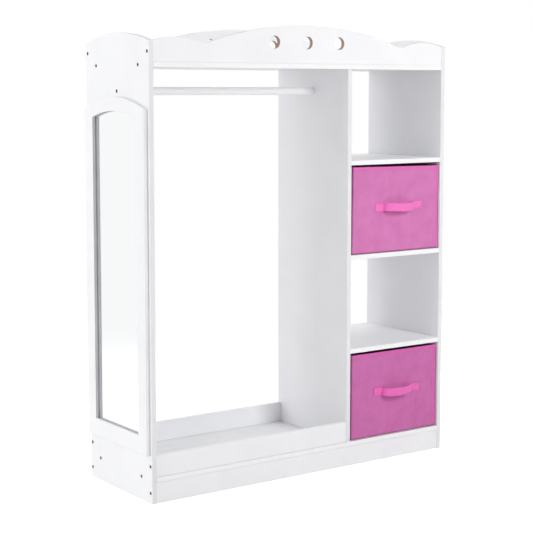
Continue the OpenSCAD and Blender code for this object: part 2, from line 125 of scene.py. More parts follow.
# %% Material helpers
def add_node(tree, kind, inputs=None, **settings):
    """Adds a shader node; each input is a plain value or the output of another node."""
    made = tree.nodes.new("ShaderNode" + kind)
    for key, value in settings.items():
        setattr(made, key, value)
    for key, value in (inputs or {}).items():
        if isinstance(value, bpy.types.NodeSocket):
            tree.links.new(value, made.inputs[key])
        else:
            made.inputs[key].default_value = value
    return made


def new_finish(name, colour, **sockets):
    """A material with this colour and these shader sockets. Returns material, tree and shader."""
    material = bpy.data.materials.new(name)
    material.use_nodes = True
    material.diffuse_color = (*colour, 1.0)
    tree = material.node_tree
    shader = tree.nodes["Principled BSDF"]
    shader.inputs["Base Color"].default_value = (*colour, 1.0)
    for key, value in sockets.items():
        shader.inputs[key.replace("_", " ")].default_value = value
    return material, tree, shader


# %% Patterns
def object_coordinates(tree):
    """Metres on the piece."""
    return add_node(tree, "TexCoord").outputs["Object"]


def surface_coordinates(tree):
    """The piece's own UV map, which is in metres along and across it."""
    return add_node(tree, "TexCoord").outputs["UV"]


def stretched(tree, coordinates, scales):
    """Coordinates times a scale for each axis. A small scale draws a pattern out along its axis."""
    return add_node(tree, "Mapping", {"Vector": coordinates, "Scale": scales}).outputs["Vector"]


def noise(tree, coordinates, scale, detail=2.0, roughness=0.5):
    """Soft noise from 0 to 1, with this many features per metre."""
    inputs = {"Vector": coordinates, "Scale": scale, "Detail": detail, "Roughness": roughness}
    return add_node(tree, "TexNoise", inputs).outputs["Fac"]


def spread(tree, value, low, high, start=0.0, end=1.0):
    """Stretches a value, so that low becomes start and high becomes end, and holds it between them."""
    inputs = {"Value": value, "From Min": low, "From Max": high, "To Min": start, "To Max": end}
    return add_node(tree, "MapRange", inputs).outputs["Result"]


def calculated(tree, operation, *values):
    """The result of an operation on numbers or on the outputs of nodes."""
    return add_node(tree, "Math", dict(enumerate(values)), operation=operation).outputs[0]


# %% From a pattern to the shader
def coloured(tree, shader, factor, first, second):
    """Gives the shader a colour that goes from first to second as factor goes from 0 to 1.

    A Mix node has its colours at the inputs 6 and 7 and the mixed one at the output 2.
    """
    inputs = {"Factor": factor, 6: (*first, 1.0), 7: (*second, 1.0)}
    mix = add_node(tree, "Mix", inputs, data_type="RGBA")
    tree.links.new(mix.outputs[2], shader.inputs["Base Color"])


def bumped(tree, shader, height, strength, distance):
    """Makes the shader's normal follow a height, where 1 stands for this distance in metres."""
    made = add_node(tree, "Bump", {"Height": height, "Strength": strength, "Distance": distance})
    tree.links.new(made.outputs["Normal"], shader.inputs["Normal"])


# %% [markdown]
# ## White lacquer on fibreboard
#
# The boards are pressed fibre under a hard white satin coat. Up close a sprayed coat has a fine
# orange peel about two millimetres across, and it is a little glossier in some places than in
# others. The white is slightly cool. The routed tops of the arches and waves and the inside of the
# mirror frame's opening are a darker grey and rougher: painted shade. The front and back edges of
# the upright boards, the frame's outer edges and the ledge under its mirror, and the top of the
# bottom board are a little greyer and rougher: milder painted shade. The level boards have a strip
# of bright edging along the front. The walls of the drilled holes were never painted at all.

# %% Board finishes
LACQUER_WHITE = (0.915, 0.917, 0.935)
LACQUER_SHADE = (0.890, 0.892, 0.912)
EDGING_WHITE = (0.935, 0.938, 0.944)
EDGING_SHADE = (0.920, 0.923, 0.931)
# Milder painted shade, for the uprights' front and back edges, the frame's outer edges and ledge, and
# the top of the bottom board
MILD_SHADE_WHITE = (0.835, 0.837, 0.853)
MILD_SHADE_GREY = (0.795, 0.797, 0.815)
# Deeper painted shade, for the routed tops of the arches and waves and the mirror frame's opening
DEEP_SHADE_WHITE = (0.72, 0.72, 0.735)
DEEP_SHADE_GREY = (0.64, 0.64, 0.655)
FIBRE_LIGHT = (0.56, 0.42, 0.34)
FIBRE_DARK = (0.41, 0.27, 0.21)
PAINT_SHINE = 0.42


def lacquer_finish(name, light, shade, roughness, peel):
    """Satin paint: faint clouds of tone, clouds of roughness, and an orange peel of this height."""
    material, tree, shader = new_finish(name, light, Specular_IOR_Level=PAINT_SHINE)
    place = object_coordinates(tree)
    clouds = spread(tree, noise(tree, place, scale=9.0, detail=3.0), low=0.35, high=0.65)
    coloured(tree, shader, clouds, light, shade)
    dulled = spread(tree, noise(tree, place, scale=38.0, detail=4.0), 0.3, 0.7, *roughness)
    tree.links.new(dulled, shader.inputs["Roughness"])
    bumped(tree, shader, noise(tree, place, scale=520.0, detail=3.0), strength=0.5, distance=peel)
    return material


def bare_fibre_finish():
    """Raw pressed fibre: short brown strands and darker specks, quite rough."""
    material, tree, shader = new_finish("bare_fibreboard", FIBRE_LIGHT, Roughness=0.9)
    strands = stretched(tree, object_coordinates(tree), (1.0, 0.35, 1.0))
    fibre = noise(tree, strands, scale=1400.0, detail=4.0, roughness=0.7)
    fibre = spread(tree, fibre, low=0.35, high=0.68)
    coloured(tree, shader, fibre, FIBRE_LIGHT, FIBRE_DARK)
    bumped(tree, shader, fibre, strength=0.6, distance=0.0001)
    return material


lacquer = lacquer_finish("white_lacquer", LACQUER_WHITE, LACQUER_SHADE, (0.34, 0.46), 0.00002)
edging = lacquer_finish("bright_edging", EDGING_WHITE, EDGING_SHADE, (0.3, 0.4), 0.00002)
# Milder painted shade: a slightly greyer white
mild_painted_shade = lacquer_finish("white_mild_painted_shade", MILD_SHADE_WHITE, MILD_SHADE_GREY, (0.42, 0.56), 0.00004)
# Deeper painted shade: a darker grey white
deep_painted_shade = lacquer_finish("cut_edge_deep_painted_shade", DEEP_SHADE_WHITE, DEEP_SHADE_GREY, (0.5, 0.66), 0.00006)
bare_fibre = bare_fibre_finish()
finishes = (lacquer, edging, mild_painted_shade, deep_painted_shade, bare_fibre)
print("board finishes:", [finish.name for finish in finishes])

# %% [markdown]
# ## The boards
#
# Every board is cut on a saw or a router and then eased, so its edges catch a thin line of light.
# The loaded boards have the right outline, the arches, the waves and every countersunk hole, but
# perfectly sharp edges. So each board here is a copy of the loaded one with its triangles merged
# into clean faces, and a Bevel modifier rounds each edge by one or two millimetres, a little less
# on the aprons. Smooth shading would pull the light on the flats askew from the corners, so a
# Weighted Normal modifier lets each flat face rule the shading at its own corners, and only the
# rounded strips blend. A face gets its finish from where it lies: on a flat, on a cut edge or
# inside a drilled ornament hole.

# %% Board helpers
EASE = 0.001
EASE_OF = {
    "top_board": 0.0016, "bottom_board": 0.0016, "front_plinth": 0.002, "front_apron": 0.0008,
    "rear_apron": 0.0008,
}
EASE_STRIPS = 2
MERGE = 1e-6
FLAT_ANGLE = np.radians(0.2)
EASED_ANGLE = np.radians(40)


def rounded_copy(node, name):
    """A copy of a loaded node with merged faces and eased edges, which stands for the node."""
    shape = bmesh.new()
    shape.from_mesh(frame["nodes"][node].data)
    bmesh.ops.remove_doubles(shape, verts=shape.verts, dist=MERGE)
    bmesh.ops.dissolve_limit(shape, angle_limit=FLAT_ANGLE, verts=shape.verts, edges=shape.edges)
    mesh = bpy.data.meshes.new(name)
    shape.to_mesh(mesh)
    shape.free()
    mesh.shade_smooth()
    piece = new_object(name, mesh)
    eased = piece.modifiers.new("eased_edges", "BEVEL")
    eased.width = EASE_OF.get(node, EASE)
    eased.segments = EASE_STRIPS
    eased.limit_method = "ANGLE"
    eased.angle_limit = EASED_ANGLE
    eased.use_clamp_overlap = False
    eased.face_strength_mode = "FSTR_AFFECTED"
    flats = piece.modifiers.new("flat_faces_rule", "WEIGHTED_NORMAL")
    flats.mode = "FACE_AREA"
    flats.use_face_influence = True
    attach(piece, frame["nodes"][node]["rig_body"])
    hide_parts(node)
    return piece


def face_table(mesh):
    """Centres and normals of a mesh's faces, as two arrays."""
    centres = np.empty(len(mesh.polygons) * 3)
    normals = np.empty(len(mesh.polygons) * 3)
    mesh.polygons.foreach_get("center", centres)
    mesh.polygons.foreach_get("normal", normals)
    return centres.reshape(-1, 3), normals.reshape(-1, 3)


def lacquered_board(node, bright=None, mild_shade=None, cut_edge=None, bare=None):
    """A white board. The tests say, from face centres and normals, where it isn't quite white."""
    board = rounded_copy(node, node + "_lacquered")
    centres, normals = face_table(board.data)
    finish_index = np.zeros(len(centres), np.int32)
    board.data.materials.append(lacquer)
    tests = ((edging, bright), (mild_painted_shade, mild_shade), (deep_painted_shade, cut_edge), (bare_fibre, bare))
    for material, chosen in tests:
        if chosen is not None:
            board.data.materials.append(material)
            finish_index[chosen(centres, normals)] = len(board.data.materials) - 1
    board.data.polygons.foreach_set("material_index", finish_index)
    print(board.name, "faces of each finish:", np.bincount(finish_index).tolist())


# %% Straight boards
PLAIN_BOARDS = ("front_plinth", "rear_plinth", "tray_front_rail", "tray_rear_rail")
EDGED_BOARDS = ("top_board", "upper_shelf", "middle_shelf", "lower_shelf")


def looks_up(centres, normals):
    """Faces whose normal rises by more than half its length."""
    return normals[:, 2] > 0.5


def looks_forwards(centres, normals):
    """Faces whose normal is all but straight to the front."""
    return normals[:, 1] < -0.9


def looks_along_depth(centres, normals):
    """Faces whose normal is all but straight to the front or the back."""
    return np.abs(normals[:, 1]) > 0.9


for node in PLAIN_BOARDS:
    lacquered_board(node)
for node in EDGED_BOARDS:
    lacquered_board(node, bright=looks_forwards)
# The top of the bottom board and the divider's front and back edges get the milder painted shade
lacquered_board("bottom_board", bright=looks_forwards, mild_shade=looks_up)
lacquered_board("divider_panel", mild_shade=looks_along_depth)

# %% [markdown]
# ## Boards with a shaped edge
#
# The side panels end in an arch, the aprons in a row of waves, and the mirror frame is arched inside
# and out. Those edges come off the router, and they get the deeper painted shade: on a panel they
# are the faces that look upwards, and on an apron everything that looks up except in the three
# holes. The frame's outer edges and the ledge under its mirror get the milder painted shade, so they
# are whiter than the rest of its opening, which gets the deeper.

# %% Shaped boards
# Of an apron's round holes: their pitch, the height of their centres over the apron's foot, and a
# little more than their radius
HOLE_PITCH = 0.0985
HOLE_HEIGHT = 0.0505
HOLE_REACH = 0.0165


def outer_edge(centres, normals):
    """The frame's outer edges, whose normals point away from its middle, and the opening's ledge."""
    low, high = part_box("mirror_frame")
    middle = np.array([0.0, low.y + high.y, low.z + high.z]) / 2
    outwards = ((centres - middle) * normals).sum(axis=1) > 0
    ledge = (normals[:, 2] > 0.9) & (centres[:, 2] < middle[2])
    return (np.abs(normals[:, 0]) < 0.5) & (outwards | ledge)


def inner_edge(centres, normals):
    """The rest of the edges of the frame's opening and rebate."""
    return (np.abs(normals[:, 0]) < 0.5) & ~outer_edge(centres, normals)


def in_ornament_hole(node):
    """A test for faces that line one of the three round holes of an apron."""
    low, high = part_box(node)
    middle = (low.x + high.x) / 2

    def test(centres, normals):
        """Faces that are nearer to a hole's axis than the reach and not on the board's flats."""
        across = centres[:, 0, None] - middle - HOLE_PITCH * np.array([-1, 0, 1])
        up = centres[:, 2, None] - low.z - HOLE_HEIGHT
        return (np.hypot(across, up).min(axis=1) < HOLE_REACH) & (np.abs(normals[:, 1]) < 0.5)

    return test


# Painted shade: the milder on the panels' front and back edges and on the frame's outer edges and
# ledge, the deeper on the routed tops and in the frame's opening
for node in ("left_side_panel", "right_side_panel"):
    lacquered_board(node, mild_shade=looks_along_depth, cut_edge=looks_up)
for node in ("front_apron", "rear_apron"):
    lacquered_board(node, cut_edge=looks_up, bare=in_ornament_hole(node))
lacquered_board("mirror_frame", mild_shade=outer_edge, cut_edge=inner_edge)

# %% [markdown]
# ## Meshes from grids
#
# Everything that is turned, sewn or folded is worked out as a grid of points: rows one way, columns
# the other. One helper turns such a grid into a mesh with a UV map in metres, so that a weave can
# follow the surface. The columns may close into a ring. Points on one spot, as at a pole, merge.


# %% Grid helpers
def welded(mesh, outwards=False):
    """Merges points on one spot. Where outwards is true, a closed mesh has its faces turned out."""
    shape = bmesh.new()
    shape.from_mesh(mesh)
    bmesh.ops.remove_doubles(shape, verts=shape.verts, dist=MERGE)
    if outwards:
        bmesh.ops.recalc_face_normals(shape, faces=shape.faces)
    shape.to_mesh(mesh)
    shape.free()
    mesh.shade_smooth()
    return mesh


def grid_mesh(name, grid, across, along, ring=False, outwards=False):
    """A mesh over a grid of points (rows, columns, 3) in metres.

    across holds each row's distance and along each column's, one more than the columns for a ring,
    where the last column joins the first. A quad's corners are (r, c), (r, c+1), (r+1, c+1) and
    (r+1, c), so its normal is the way along a row crossed with the way from row to row.
    """
    rows, columns = grid.shape[:2]
    row, column = np.meshgrid(np.arange(rows - 1), np.arange(columns - (not ring)), indexing="ij")
    row, column = row.ravel(), column.ravel()
    corner_rows = np.stack([row, row, row + 1, row + 1], axis=1)
    corner_columns = np.stack([column, column + 1, column + 1, column], axis=1)
    quads = corner_rows * columns + corner_columns % columns
    mesh = bpy.data.meshes.new(name)
    mesh.from_pydata(grid.reshape(-1, 3).tolist(), [], quads.tolist())
    flat_map = mesh.uv_layers.new(name="surface")
    corners = np.stack([along[corner_columns], across[corner_rows]], axis=-1)
    flat_map.uv.foreach_set("vector", corners.astype(np.float32).ravel())
    return welded(mesh, outwards)


def placed_piece(mesh, finish, body, slot, *nodes):
    """A piece with this mesh and finish that rides on a body and stands for these nodes."""
    mesh.materials.append(finish)
    piece = new_object(mesh.name, mesh)
    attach(piece, body)
    if nodes:
        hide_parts(*nodes)
    print(piece.name, "faces:", len(mesh.polygons))
    return piece


def running_length(points, ring=False):
    """Distance travelled at each point of a path, and once more back at its start for a ring."""
    path = np.vstack([points, points[:1]]) if ring else points
    steps = np.linalg.norm(np.diff(path, axis=0), axis=1)
    return np.concatenate([[0.0], np.cumsum(steps)])


def resampled(points, travelled, stations):
    """Points of a path at these distances along it, on straight lines between the given points."""
    return np.stack([np.interp(stations, travelled, column) for column in points.T], axis=1)


# %% [markdown]
# ## The hanging rod
#
# The rod is a planed wooden dowel under white paint, so long shallow grain lines run along it. Its
# white is brighter than the boards': painted light that lifts the top board's shadow off it. It is
# a profile turned round the X axis: a centre point, a small chamfer, the long side, and the same at
# the other end.

# %% Rod finish
# Both whites are brighter than the boards': painted light against the top board's shadow on the rod
ROD_PAINTED_LIGHT = (0.975, 0.977, 0.988)
ROD_GRAIN_PAINTED_LIGHT = (0.955, 0.957, 0.970)
GRAIN_SCALES = (0.025, 1.0, 1.0)


def painted_dowel_finish():
    """White paint over long grain, whitened by painted light: noise stretched forty times along X."""
    material, tree, shader = new_finish("dowel_paint_and_painted_light", ROD_PAINTED_LIGHT, Specular_IOR_Level=PAINT_SHINE)
    grain_place = stretched(tree, object_coordinates(tree), GRAIN_SCALES)
    grain = noise(tree, grain_place, scale=900.0, detail=4.0, roughness=0.6)
    coloured(tree, shader, grain, ROD_PAINTED_LIGHT, ROD_GRAIN_PAINTED_LIGHT)
    dulled = spread(tree, grain, low=0.0, high=1.0, start=0.3, end=0.5)
    tree.links.new(dulled, shader.inputs["Roughness"])
    bumped(tree, shader, grain, strength=0.35, distance=0.00008)
    return material


# %% Rod
ROD_CHAMFER = 0.0006
ROD_RINGS = 24
ROD_SIDES = 96
ROD_SHARP = np.radians(35)


def turned_rod(node):
    """Points of a chamfered rod: x from the profile, y and z from its radius and the turn angle."""
    low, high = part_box(node)
    middle = (low + high) / 2
    radius = (high.z - low.z) / 2
    shoulder = radius - ROD_CHAMFER
    stations = np.linspace(low.x + ROD_CHAMFER, high.x - ROD_CHAMFER, ROD_RINGS)
    x = np.concatenate([[low.x, low.x], stations, [high.x, high.x]])
    reach = np.concatenate([[0.0, shoulder], np.full(ROD_RINGS, radius), [shoulder, 0.0]])
    turn = np.linspace(0, 2 * np.pi, ROD_SIDES, endpoint=False)
    grid = np.empty((len(x), ROD_SIDES, 3))
    grid[..., 0] = x[:, None]
    grid[..., 1] = middle.y - reach[:, None] * np.cos(turn)
    grid[..., 2] = middle.z + reach[:, None] * np.sin(turn)
    around = np.linspace(0, 2 * np.pi * radius, ROD_SIDES + 1)
    return grid, running_length(np.stack([x, reach], axis=1)), around


rod_mesh = grid_mesh("hanging_rod_turned", *turned_rod("hanging_rod"), ring=True)
rod_mesh.set_sharp_from_angle(angle=ROD_SHARP)
placed_piece(rod_mesh, painted_dowel_finish(), "carcass", "painted_rod", "hanging_rod")

# %% [markdown]
# ## Mirror, screws and dowels
#
# The mirror is an acrylic sheet with silver on its back. The clear sheet itself is all but
# invisible, so what is shown is the silver, a thin layer that lies the sheet's thickness behind the
# frame's lip. The dark gap under the lip then shows, and shows again in the silver, as a fine line
# round the picture in the mirror. It is a copy of the loaded sheet with its front face set back.
# The screws and dowels already have their true shape, so they stay and get a finish: dull zinc with
# fine turning marks, and bare beech, hidden inside the joints.

# %% Mirror
SILVER = (0.93, 0.94, 0.945)
SILVER_THICK = 0.0003


def mirror_finish():
    """Polished silver behind acrylic: a metal with almost no roughness and very long, low waves."""
    material, tree, shader = new_finish("silvered_sheet", SILVER, Metallic=1.0, Roughness=0.012)
    waves = noise(tree, object_coordinates(tree), scale=7.0, detail=1.0)
    bumped(tree, shader, waves, strength=0.2, distance=0.0004)
    return material


def silver_layer(node):
    """A copy of the loaded sheet: points on its front half move back to the silver's thickness."""
    low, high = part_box(node)
    mesh = frame["nodes"][node].data.copy()
    mesh.name = node + "_silver"
    points = np.empty(len(mesh.vertices) * 3, np.float32)
    mesh.vertices.foreach_get("co", points)
    points = points.reshape(-1, 3)
    points[points[:, 0] < (low.x + high.x) / 2, 0] = high.x - SILVER_THICK
    mesh.vertices.foreach_set("co", points.ravel())
    mesh.materials.clear()
    mesh.update()
    return mesh


placed_piece(silver_layer("mirror_sheet"), mirror_finish(), "carcass", "mirror", "mirror_sheet")

# %% Screws and dowels
ZINC = (0.20, 0.195, 0.205)
ZINC_LIGHT = (0.24, 0.235, 0.245)
ZINC_DARK = (0.13, 0.125, 0.13)
BEECH = (0.62, 0.42, 0.25)
BEECH_FLECK = (0.42, 0.26, 0.14)


def screw_finish():
    """Dull zinc: a mid grey metal with clouds of tarnish and fine scratches."""
    material, tree, shader = new_finish("dull_zinc", ZINC, Metallic=0.85, Roughness=0.5)
    place = object_coordinates(tree)
    tarnish = spread(tree, noise(tree, place, scale=500.0, detail=3.0), low=0.3, high=0.7)
    coloured(tree, shader, tarnish, ZINC_LIGHT, ZINC_DARK)
    bumped(tree, shader, noise(tree, place, scale=4000.0), strength=0.4, distance=0.00002)
    return material


def beech_finish():
    """Bare beech: short darker flecks on a straw ground."""
    material, tree, shader = new_finish("bare_beech", BEECH, Roughness=0.7)
    flecks = noise(tree, object_coordinates(tree), scale=900.0, detail=3.0)
    flecks = spread(tree, flecks, low=0.4, high=0.7)
    coloured(tree, shader, flecks, BEECH, BEECH_FLECK)
    bumped(tree, shader, flecks, strength=0.4, distance=0.00005)
    return material


def refinished(material, slot, *nodes):
    """Loaded nodes that keep their shape and get this finish."""
    for node in nodes:
        shown = frame["nodes"][node]
        shown.data.materials.clear()
        shown.data.materials.append(material)
    print(material.name, "on:", len(nodes), "nodes")


refinished(
    screw_finish(), "screws", "left_panel_screws", "right_panel_screws", "divider_end_screws",
    "divider_side_screws", "mirror_frame_screws",
)
refinished(beech_finish(), "dowels", "shelf_dowels", "apron_dowels", "plinth_dowels", "tray_dowels")

# %% [markdown]
# ## Cloth finishes for the bins
#
# The bins are sewn from spun-bonded cloth, the kind that is pressed with a fine grid of dots so that
# its fibres hold together. It is matt, a little cloudy in colour, and dusty pink. The tape round the
# rim and down the corners and the webbing of the handle are woven, brighter and pinker. The dots
# read Object coordinates, because the cloth is the same all round. The weaves read the UV map, so
# that they run along the tape. The lower bin's colours are multiplied down channel by channel, so it
# is a little darker than the upper.

# %% Pressed cloth
CLOTH_PINK = (0.610, 0.170, 0.430)
CLOTH_PALE = (0.700, 0.225, 0.510)
DOT_SCALE = 760.0


def pressed_cloth_finish(name, first, second):
    """Spun-bonded cloth: clouds of tone, stray fibres, and pressed dots 1.3 mm apart."""
    material, tree, shader = new_finish(
        name, first, Roughness=0.88, Specular_IOR_Level=0.2, Sheen_Weight=0.25, Sheen_Roughness=0.5
    )
    place = object_coordinates(tree)
    clouds = spread(tree, noise(tree, place, scale=28.0, detail=5.0, roughness=0.6), 0.32, 0.68)
    fibres = spread(tree, noise(tree, place, scale=700.0, detail=4.0, roughness=0.7), 0.3, 0.7)
    dots = add_node(tree, "TexVoronoi", {"Vector": place, "Scale": DOT_SCALE, "Randomness": 0.12})
    pressed = spread(tree, dots.outputs["Distance"], low=0.18, high=0.34)
    tone = calculated(tree, "MULTIPLY", clouds, 0.72)
    tone = calculated(tree, "MULTIPLY_ADD", fibres, 0.28, tone)
    coloured(tree, shader, tone, first, second)
    height = calculated(tree, "MULTIPLY_ADD", fibres, 0.4, pressed)
    bumped(tree, shader, height, strength=0.35, distance=0.00012)
    return material


# %% Woven tape and webbing
TAPE_PINK = (0.820, 0.200, 0.560)
TAPE_DEEP = (0.690, 0.155, 0.450)
WEBBING_PINK = (0.970, 0.230, 0.640)
WEBBING_DEEP = (0.860, 0.160, 0.510)


def woven_finish(name, first, second, thread, rib, sheen):
    """Plain weave from the UV map: ribs along the strip crossed by threads, both in metres."""
    material, tree, shader = new_finish(
        name, first, Roughness=0.72, Specular_IOR_Level=0.3, Sheen_Weight=sheen, Sheen_Roughness=0.4
    )
    separate = add_node(tree, "SeparateXYZ", {"Vector": surface_coordinates(tree)})

    def wave(axis, period):
        """A sine wave from -1 to 1 with this period along an axis of the UV map."""
        turns = calculated(tree, "MULTIPLY", separate.outputs[axis], 2 * np.pi / period)
        return calculated(tree, "SINE", turns)

    crossing = calculated(tree, "MULTIPLY", wave("X", thread), wave("Y", rib))
    height = spread(tree, crossing, low=-1.0, high=1.0)
    clouds = noise(tree, object_coordinates(tree), scale=160.0, detail=3.0)
    clouds = spread(tree, clouds, low=0.3, high=0.7)
    tone = calculated(tree, "MULTIPLY", height, 0.55)
    tone = calculated(tree, "MULTIPLY_ADD", clouds, 0.45, tone)
    coloured(tree, shader, tone, second, first)
    bumped(tree, shader, height, strength=0.5, distance=0.0002)
    return material


# %% Finishes of each bin
# The lower bin's colours are multiplied down by these factors, so it is a little darker than the upper
BIN_DARKENING = {"upper_bin": (1.0, 1.0, 1.0), "lower_bin": (0.905, 0.80, 0.885)}
THREAD_PINK = (0.600, 0.085, 0.320)
CARD = (0.36, 0.31, 0.26)
CARD_LIGHT = (0.40, 0.35, 0.30)
CARD_DARK = (0.30, 0.25, 0.21)


def darkened_colours(bin_name, *colours):
    """Colours of the cloth times the bin's darkening, channel by channel."""
    return [tuple(np.multiply(colour, BIN_DARKENING[bin_name]).tolist()) for colour in colours]


def card_finish():
    """Grey card: faint fibres on a warm grey."""
    material, tree, shader = new_finish("grey_card", CARD, Roughness=0.9)
    fibres = noise(tree, object_coordinates(tree), scale=600.0, detail=4.0, roughness=0.7)
    coloured(tree, shader, fibres, CARD_LIGHT, CARD_DARK)
    bumped(tree, shader, fibres, strength=0.3, distance=0.0001)
    return material


cloth, tape, webbing = {}, {}, {}
for bin_name in BIN_DARKENING:
    cloth[bin_name] = pressed_cloth_finish(
        bin_name + "_pressed_cloth", *darkened_colours(bin_name, CLOTH_PINK, CLOTH_PALE)
    )
    tape[bin_name] = woven_finish(
        bin_name + "_rim_tape", *darkened_colours(bin_name, TAPE_PINK, TAPE_DEEP),
        thread=0.0009, rib=0.0007, sheen=0.2,
    )
    webbing[bin_name] = woven_finish(
        bin_name + "_handle_webbing", *darkened_colours(bin_name, WEBBING_PINK, WEBBING_DEEP),
        thread=0.0016, rib=0.0011, sheen=0.3,
    )
sewing_thread = new_finish("sewing_thread", THREAD_PINK, Roughness=0.5, Sheen_Weight=0.3)[0]
card = card_finish()
bin_finishes = [*cloth.values(), *tape.values(), *webbing.values(), sewing_thread, card]
print("finishes of the bins:", [finish.name for finish in bin_finishes])

# %% [markdown]
# ## The shape of a bin
#
# A bin is a cloth box with loose stiffening boards in its walls. With use the walls bow in a little
# between the rim and the floor, most of all below the middle, and the whole box leans: in the
# picture both bins have slumped to the right, the upper one by four or five millimetres at its rim.
# One function bends all the layers together, so that they stay nested. It moves each point towards
# the middle of the bin in proportion to its distance from there, and then sideways and up by the
# slump of the nearest corners. Sizes are in millimetres inside a bin, whose corner at the left front
# of the floor is the zero point.

# %% Bin sizes
# COVER_IN, BOARD_IN and LINING_IN say how far in from the rim's outside each layer's outer face lies
MM = 0.001
RIM_CORNER = 3.4
COVER_IN = 0.6
CLOTH_THICK = 0.8
LAYER_GAP = 0.1
BOARD_THICK = 2.0
BOARD_IN = COVER_IN + CLOTH_THICK + LAYER_GAP
LINING_IN = BOARD_IN + BOARD_THICK + LAYER_GAP
WALL_TOTAL = LINING_IN + CLOTH_THICK + COVER_IN
RIM_CLEARANCE = 2.0
SIDE_BOW = 0.9
FACE_BOW = 1.3
BOW_POWER = 0.8
# For each bin: the start of its creases; how far its left and right walls stand to the right at the
# floor and at the rim; how far the left and right ends of its rim are raised; how far the left and
# right ends of its handle are raised; and how far the left and right half of the handle's loop sag
BINS = {
    "upper_bin": {
        "phase": 0.6, "floor": (0.8, 4.8), "rim": (3.6, 5.4), "raised": (1.3, -2.0),
        "handle": (1.4, 3.6), "sag": (-1.0, 5.0),
    },
    "lower_bin": {
        "phase": 3.9, "floor": (1.2, 5.4), "rim": (2.6, 4.0), "raised": (-0.4, -0.4),
        "handle": (2.4, -1.5), "sag": (1.6, 0.6),
    },
}


def bin_place(bin_name):
    """Zero point of a bin in metres, and its width, depth and height in millimetres."""
    rim_low, rim_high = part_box(bin_name + "_binding")
    zero = np.array([rim_low.x, rim_low.y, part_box(bin_name + "_cover")[0].z])
    return zero, (np.array(rim_high) - zero) / MM


def bin_size(bin_name):
    """Width, depth and height of a bin in millimetres."""
    return bin_place(bin_name)[1]


for bin_name in BINS:
    print(bin_name, "size in millimetres:", np.round(bin_size(bin_name), 1))


# %% Bent like the bin
def between(ends, share):
    """A straight change from the first of two numbers to the second as the share goes from 0 to 1."""
    return ends[0] + (ends[1] - ends[0]) * share


def in_frame(bin_name, points):
    """Points of a bin, bowed and slumped, carried from millimetres in the bin to metres in the frame.

    The bow is a half wave of the height's share to the power 0.8, so its deepest place is at 0.42
    of the height, and it is nothing at the floor and at the rim.
    """
    zero, size = bin_place(bin_name)
    slump = BINS[bin_name]
    across = points[..., 0] / size[0]
    back = points[..., 1] / size[1]
    up = np.clip(points[..., 2] / size[2], 0.0, 1.0)
    bow = np.sin(np.pi * up**BOW_POWER)
    bent = points.copy()
    bent[..., 0] += SIDE_BOW * bow * (1 - 2 * across)
    bent[..., 0] += between((between(slump["floor"], across), between(slump["rim"], across)), up)
    bent[..., 1] += FACE_BOW * bow * (1 - 2 * back)
    bent[..., 2] += up * between(slump["raised"], across)
    return zero + bent * MM


def bin_mesh(bin_name, ending, grid, across, along, ring=True, outwards=False):
    """A mesh over a grid of points in bin millimetres, bent like the bin and named after it."""
    name = f"{bin_name}_{ending}"
    return grid_mesh(name, in_frame(bin_name, grid), across * MM, along * MM, ring, outwards)


def bin_piece(bin_name, mesh, finish, slot, *parts):
    """A piece that rides on a bin and stands for these parts of it."""
    return placed_piece(mesh, finish, bin_name, slot, *[f"{bin_name}_{part}" for part in parts])


def thickened(piece, thickness):
    """Gives a skin this thickness in millimetres, on its inner side."""
    wall = piece.modifiers.new("cloth_thickness", "SOLIDIFY")
    wall.thickness = thickness * MM
    wall.offset = -1.0
    wall.use_even_offset = False


# %% [markdown]
# ## Cover and lining
#
# Both are the same form: a floor and four walls in one skin, with the upright corners rounded. A
# path runs round the box, and rings of it are stacked: growing from the middle of the floor to its
# edge, round a small seam, and up the wall. The cover also has soft creases, a sum of slow waves
# that run up the cloth and lean a little, strongest halfway up. It stands on the middle of its
# floor, so its lower edge, a thin welt, is a little off the board below, and the handle's tabs pull
# the front into short folds. A Solidify modifier gives the skin the thickness of the cloth, inwards.


# %% Path round a bin
def wall_directions(side, turn=0.0):
    """Unit vectors in plan: outwards from a side of the path and forwards along it.

    The sides are counted counter-clockwise from the front, and both vectors can turn further on.
    """
    heading = np.radians(90 * side - 90) + turn
    out = np.stack([np.cos(heading), np.sin(heading)], axis=-1)
    return out, out[..., ::-1] * [-1, 1]


def corner_centres(size, corner):
    """Centres of the four quarter circles, counter-clockwise from the right front."""
    right, back = size[:2] - corner
    return np.array([[right, corner], [right, back], [corner, back], [corner, corner]])


def rim_path(size, corner, inset, side_steps=56, corner_steps=6):
    """Points round a rectangle with round corners, counter-clockwise from the left end of the front.

    For each side: the straight part, then a quarter circle about the next corner's centre. Also
    returns the outward direction at each point.
    """
    centres = corner_centres(size, corner)
    radius = corner - inset
    share = np.linspace(0, 1, side_steps, endpoint=False)[:, None]
    turn = np.linspace(0, np.pi / 2, corner_steps, endpoint=False)
    points, outward = [], []
    for side in range(4):
        out = wall_directions(side)[0]
        round_out = wall_directions(side, turn)[0]
        start, end = centres[side - 1] + radius * out, centres[side] + radius * out
        points += [start + (end - start) * share, centres[side] + radius * round_out]
        outward += [np.tile(out, (side_steps, 1)), round_out]
    return np.concatenate(points), np.concatenate(outward)


# %% Creases and welt
# For each wave of creases: how far it stands out, its length, and the factors of its lean, of the
# bin's phase and of the height
CREASE_WAVES = (
    (0.20, 71.0, 1.0, 1.0, 0.0),
    (0.14, 37.0, -0.6, 2.1, 0.0),
    (0.08, 17.5, 2.2, 0.7, 0.03),
)
CREASE_LEAN = 0.18
CREASE_POWER = 0.7
BOTTOM_LIFT = 3.0
WELT_OUT = 0.5
WELT_RISE = 2.2
WELT_HALF = 1.5


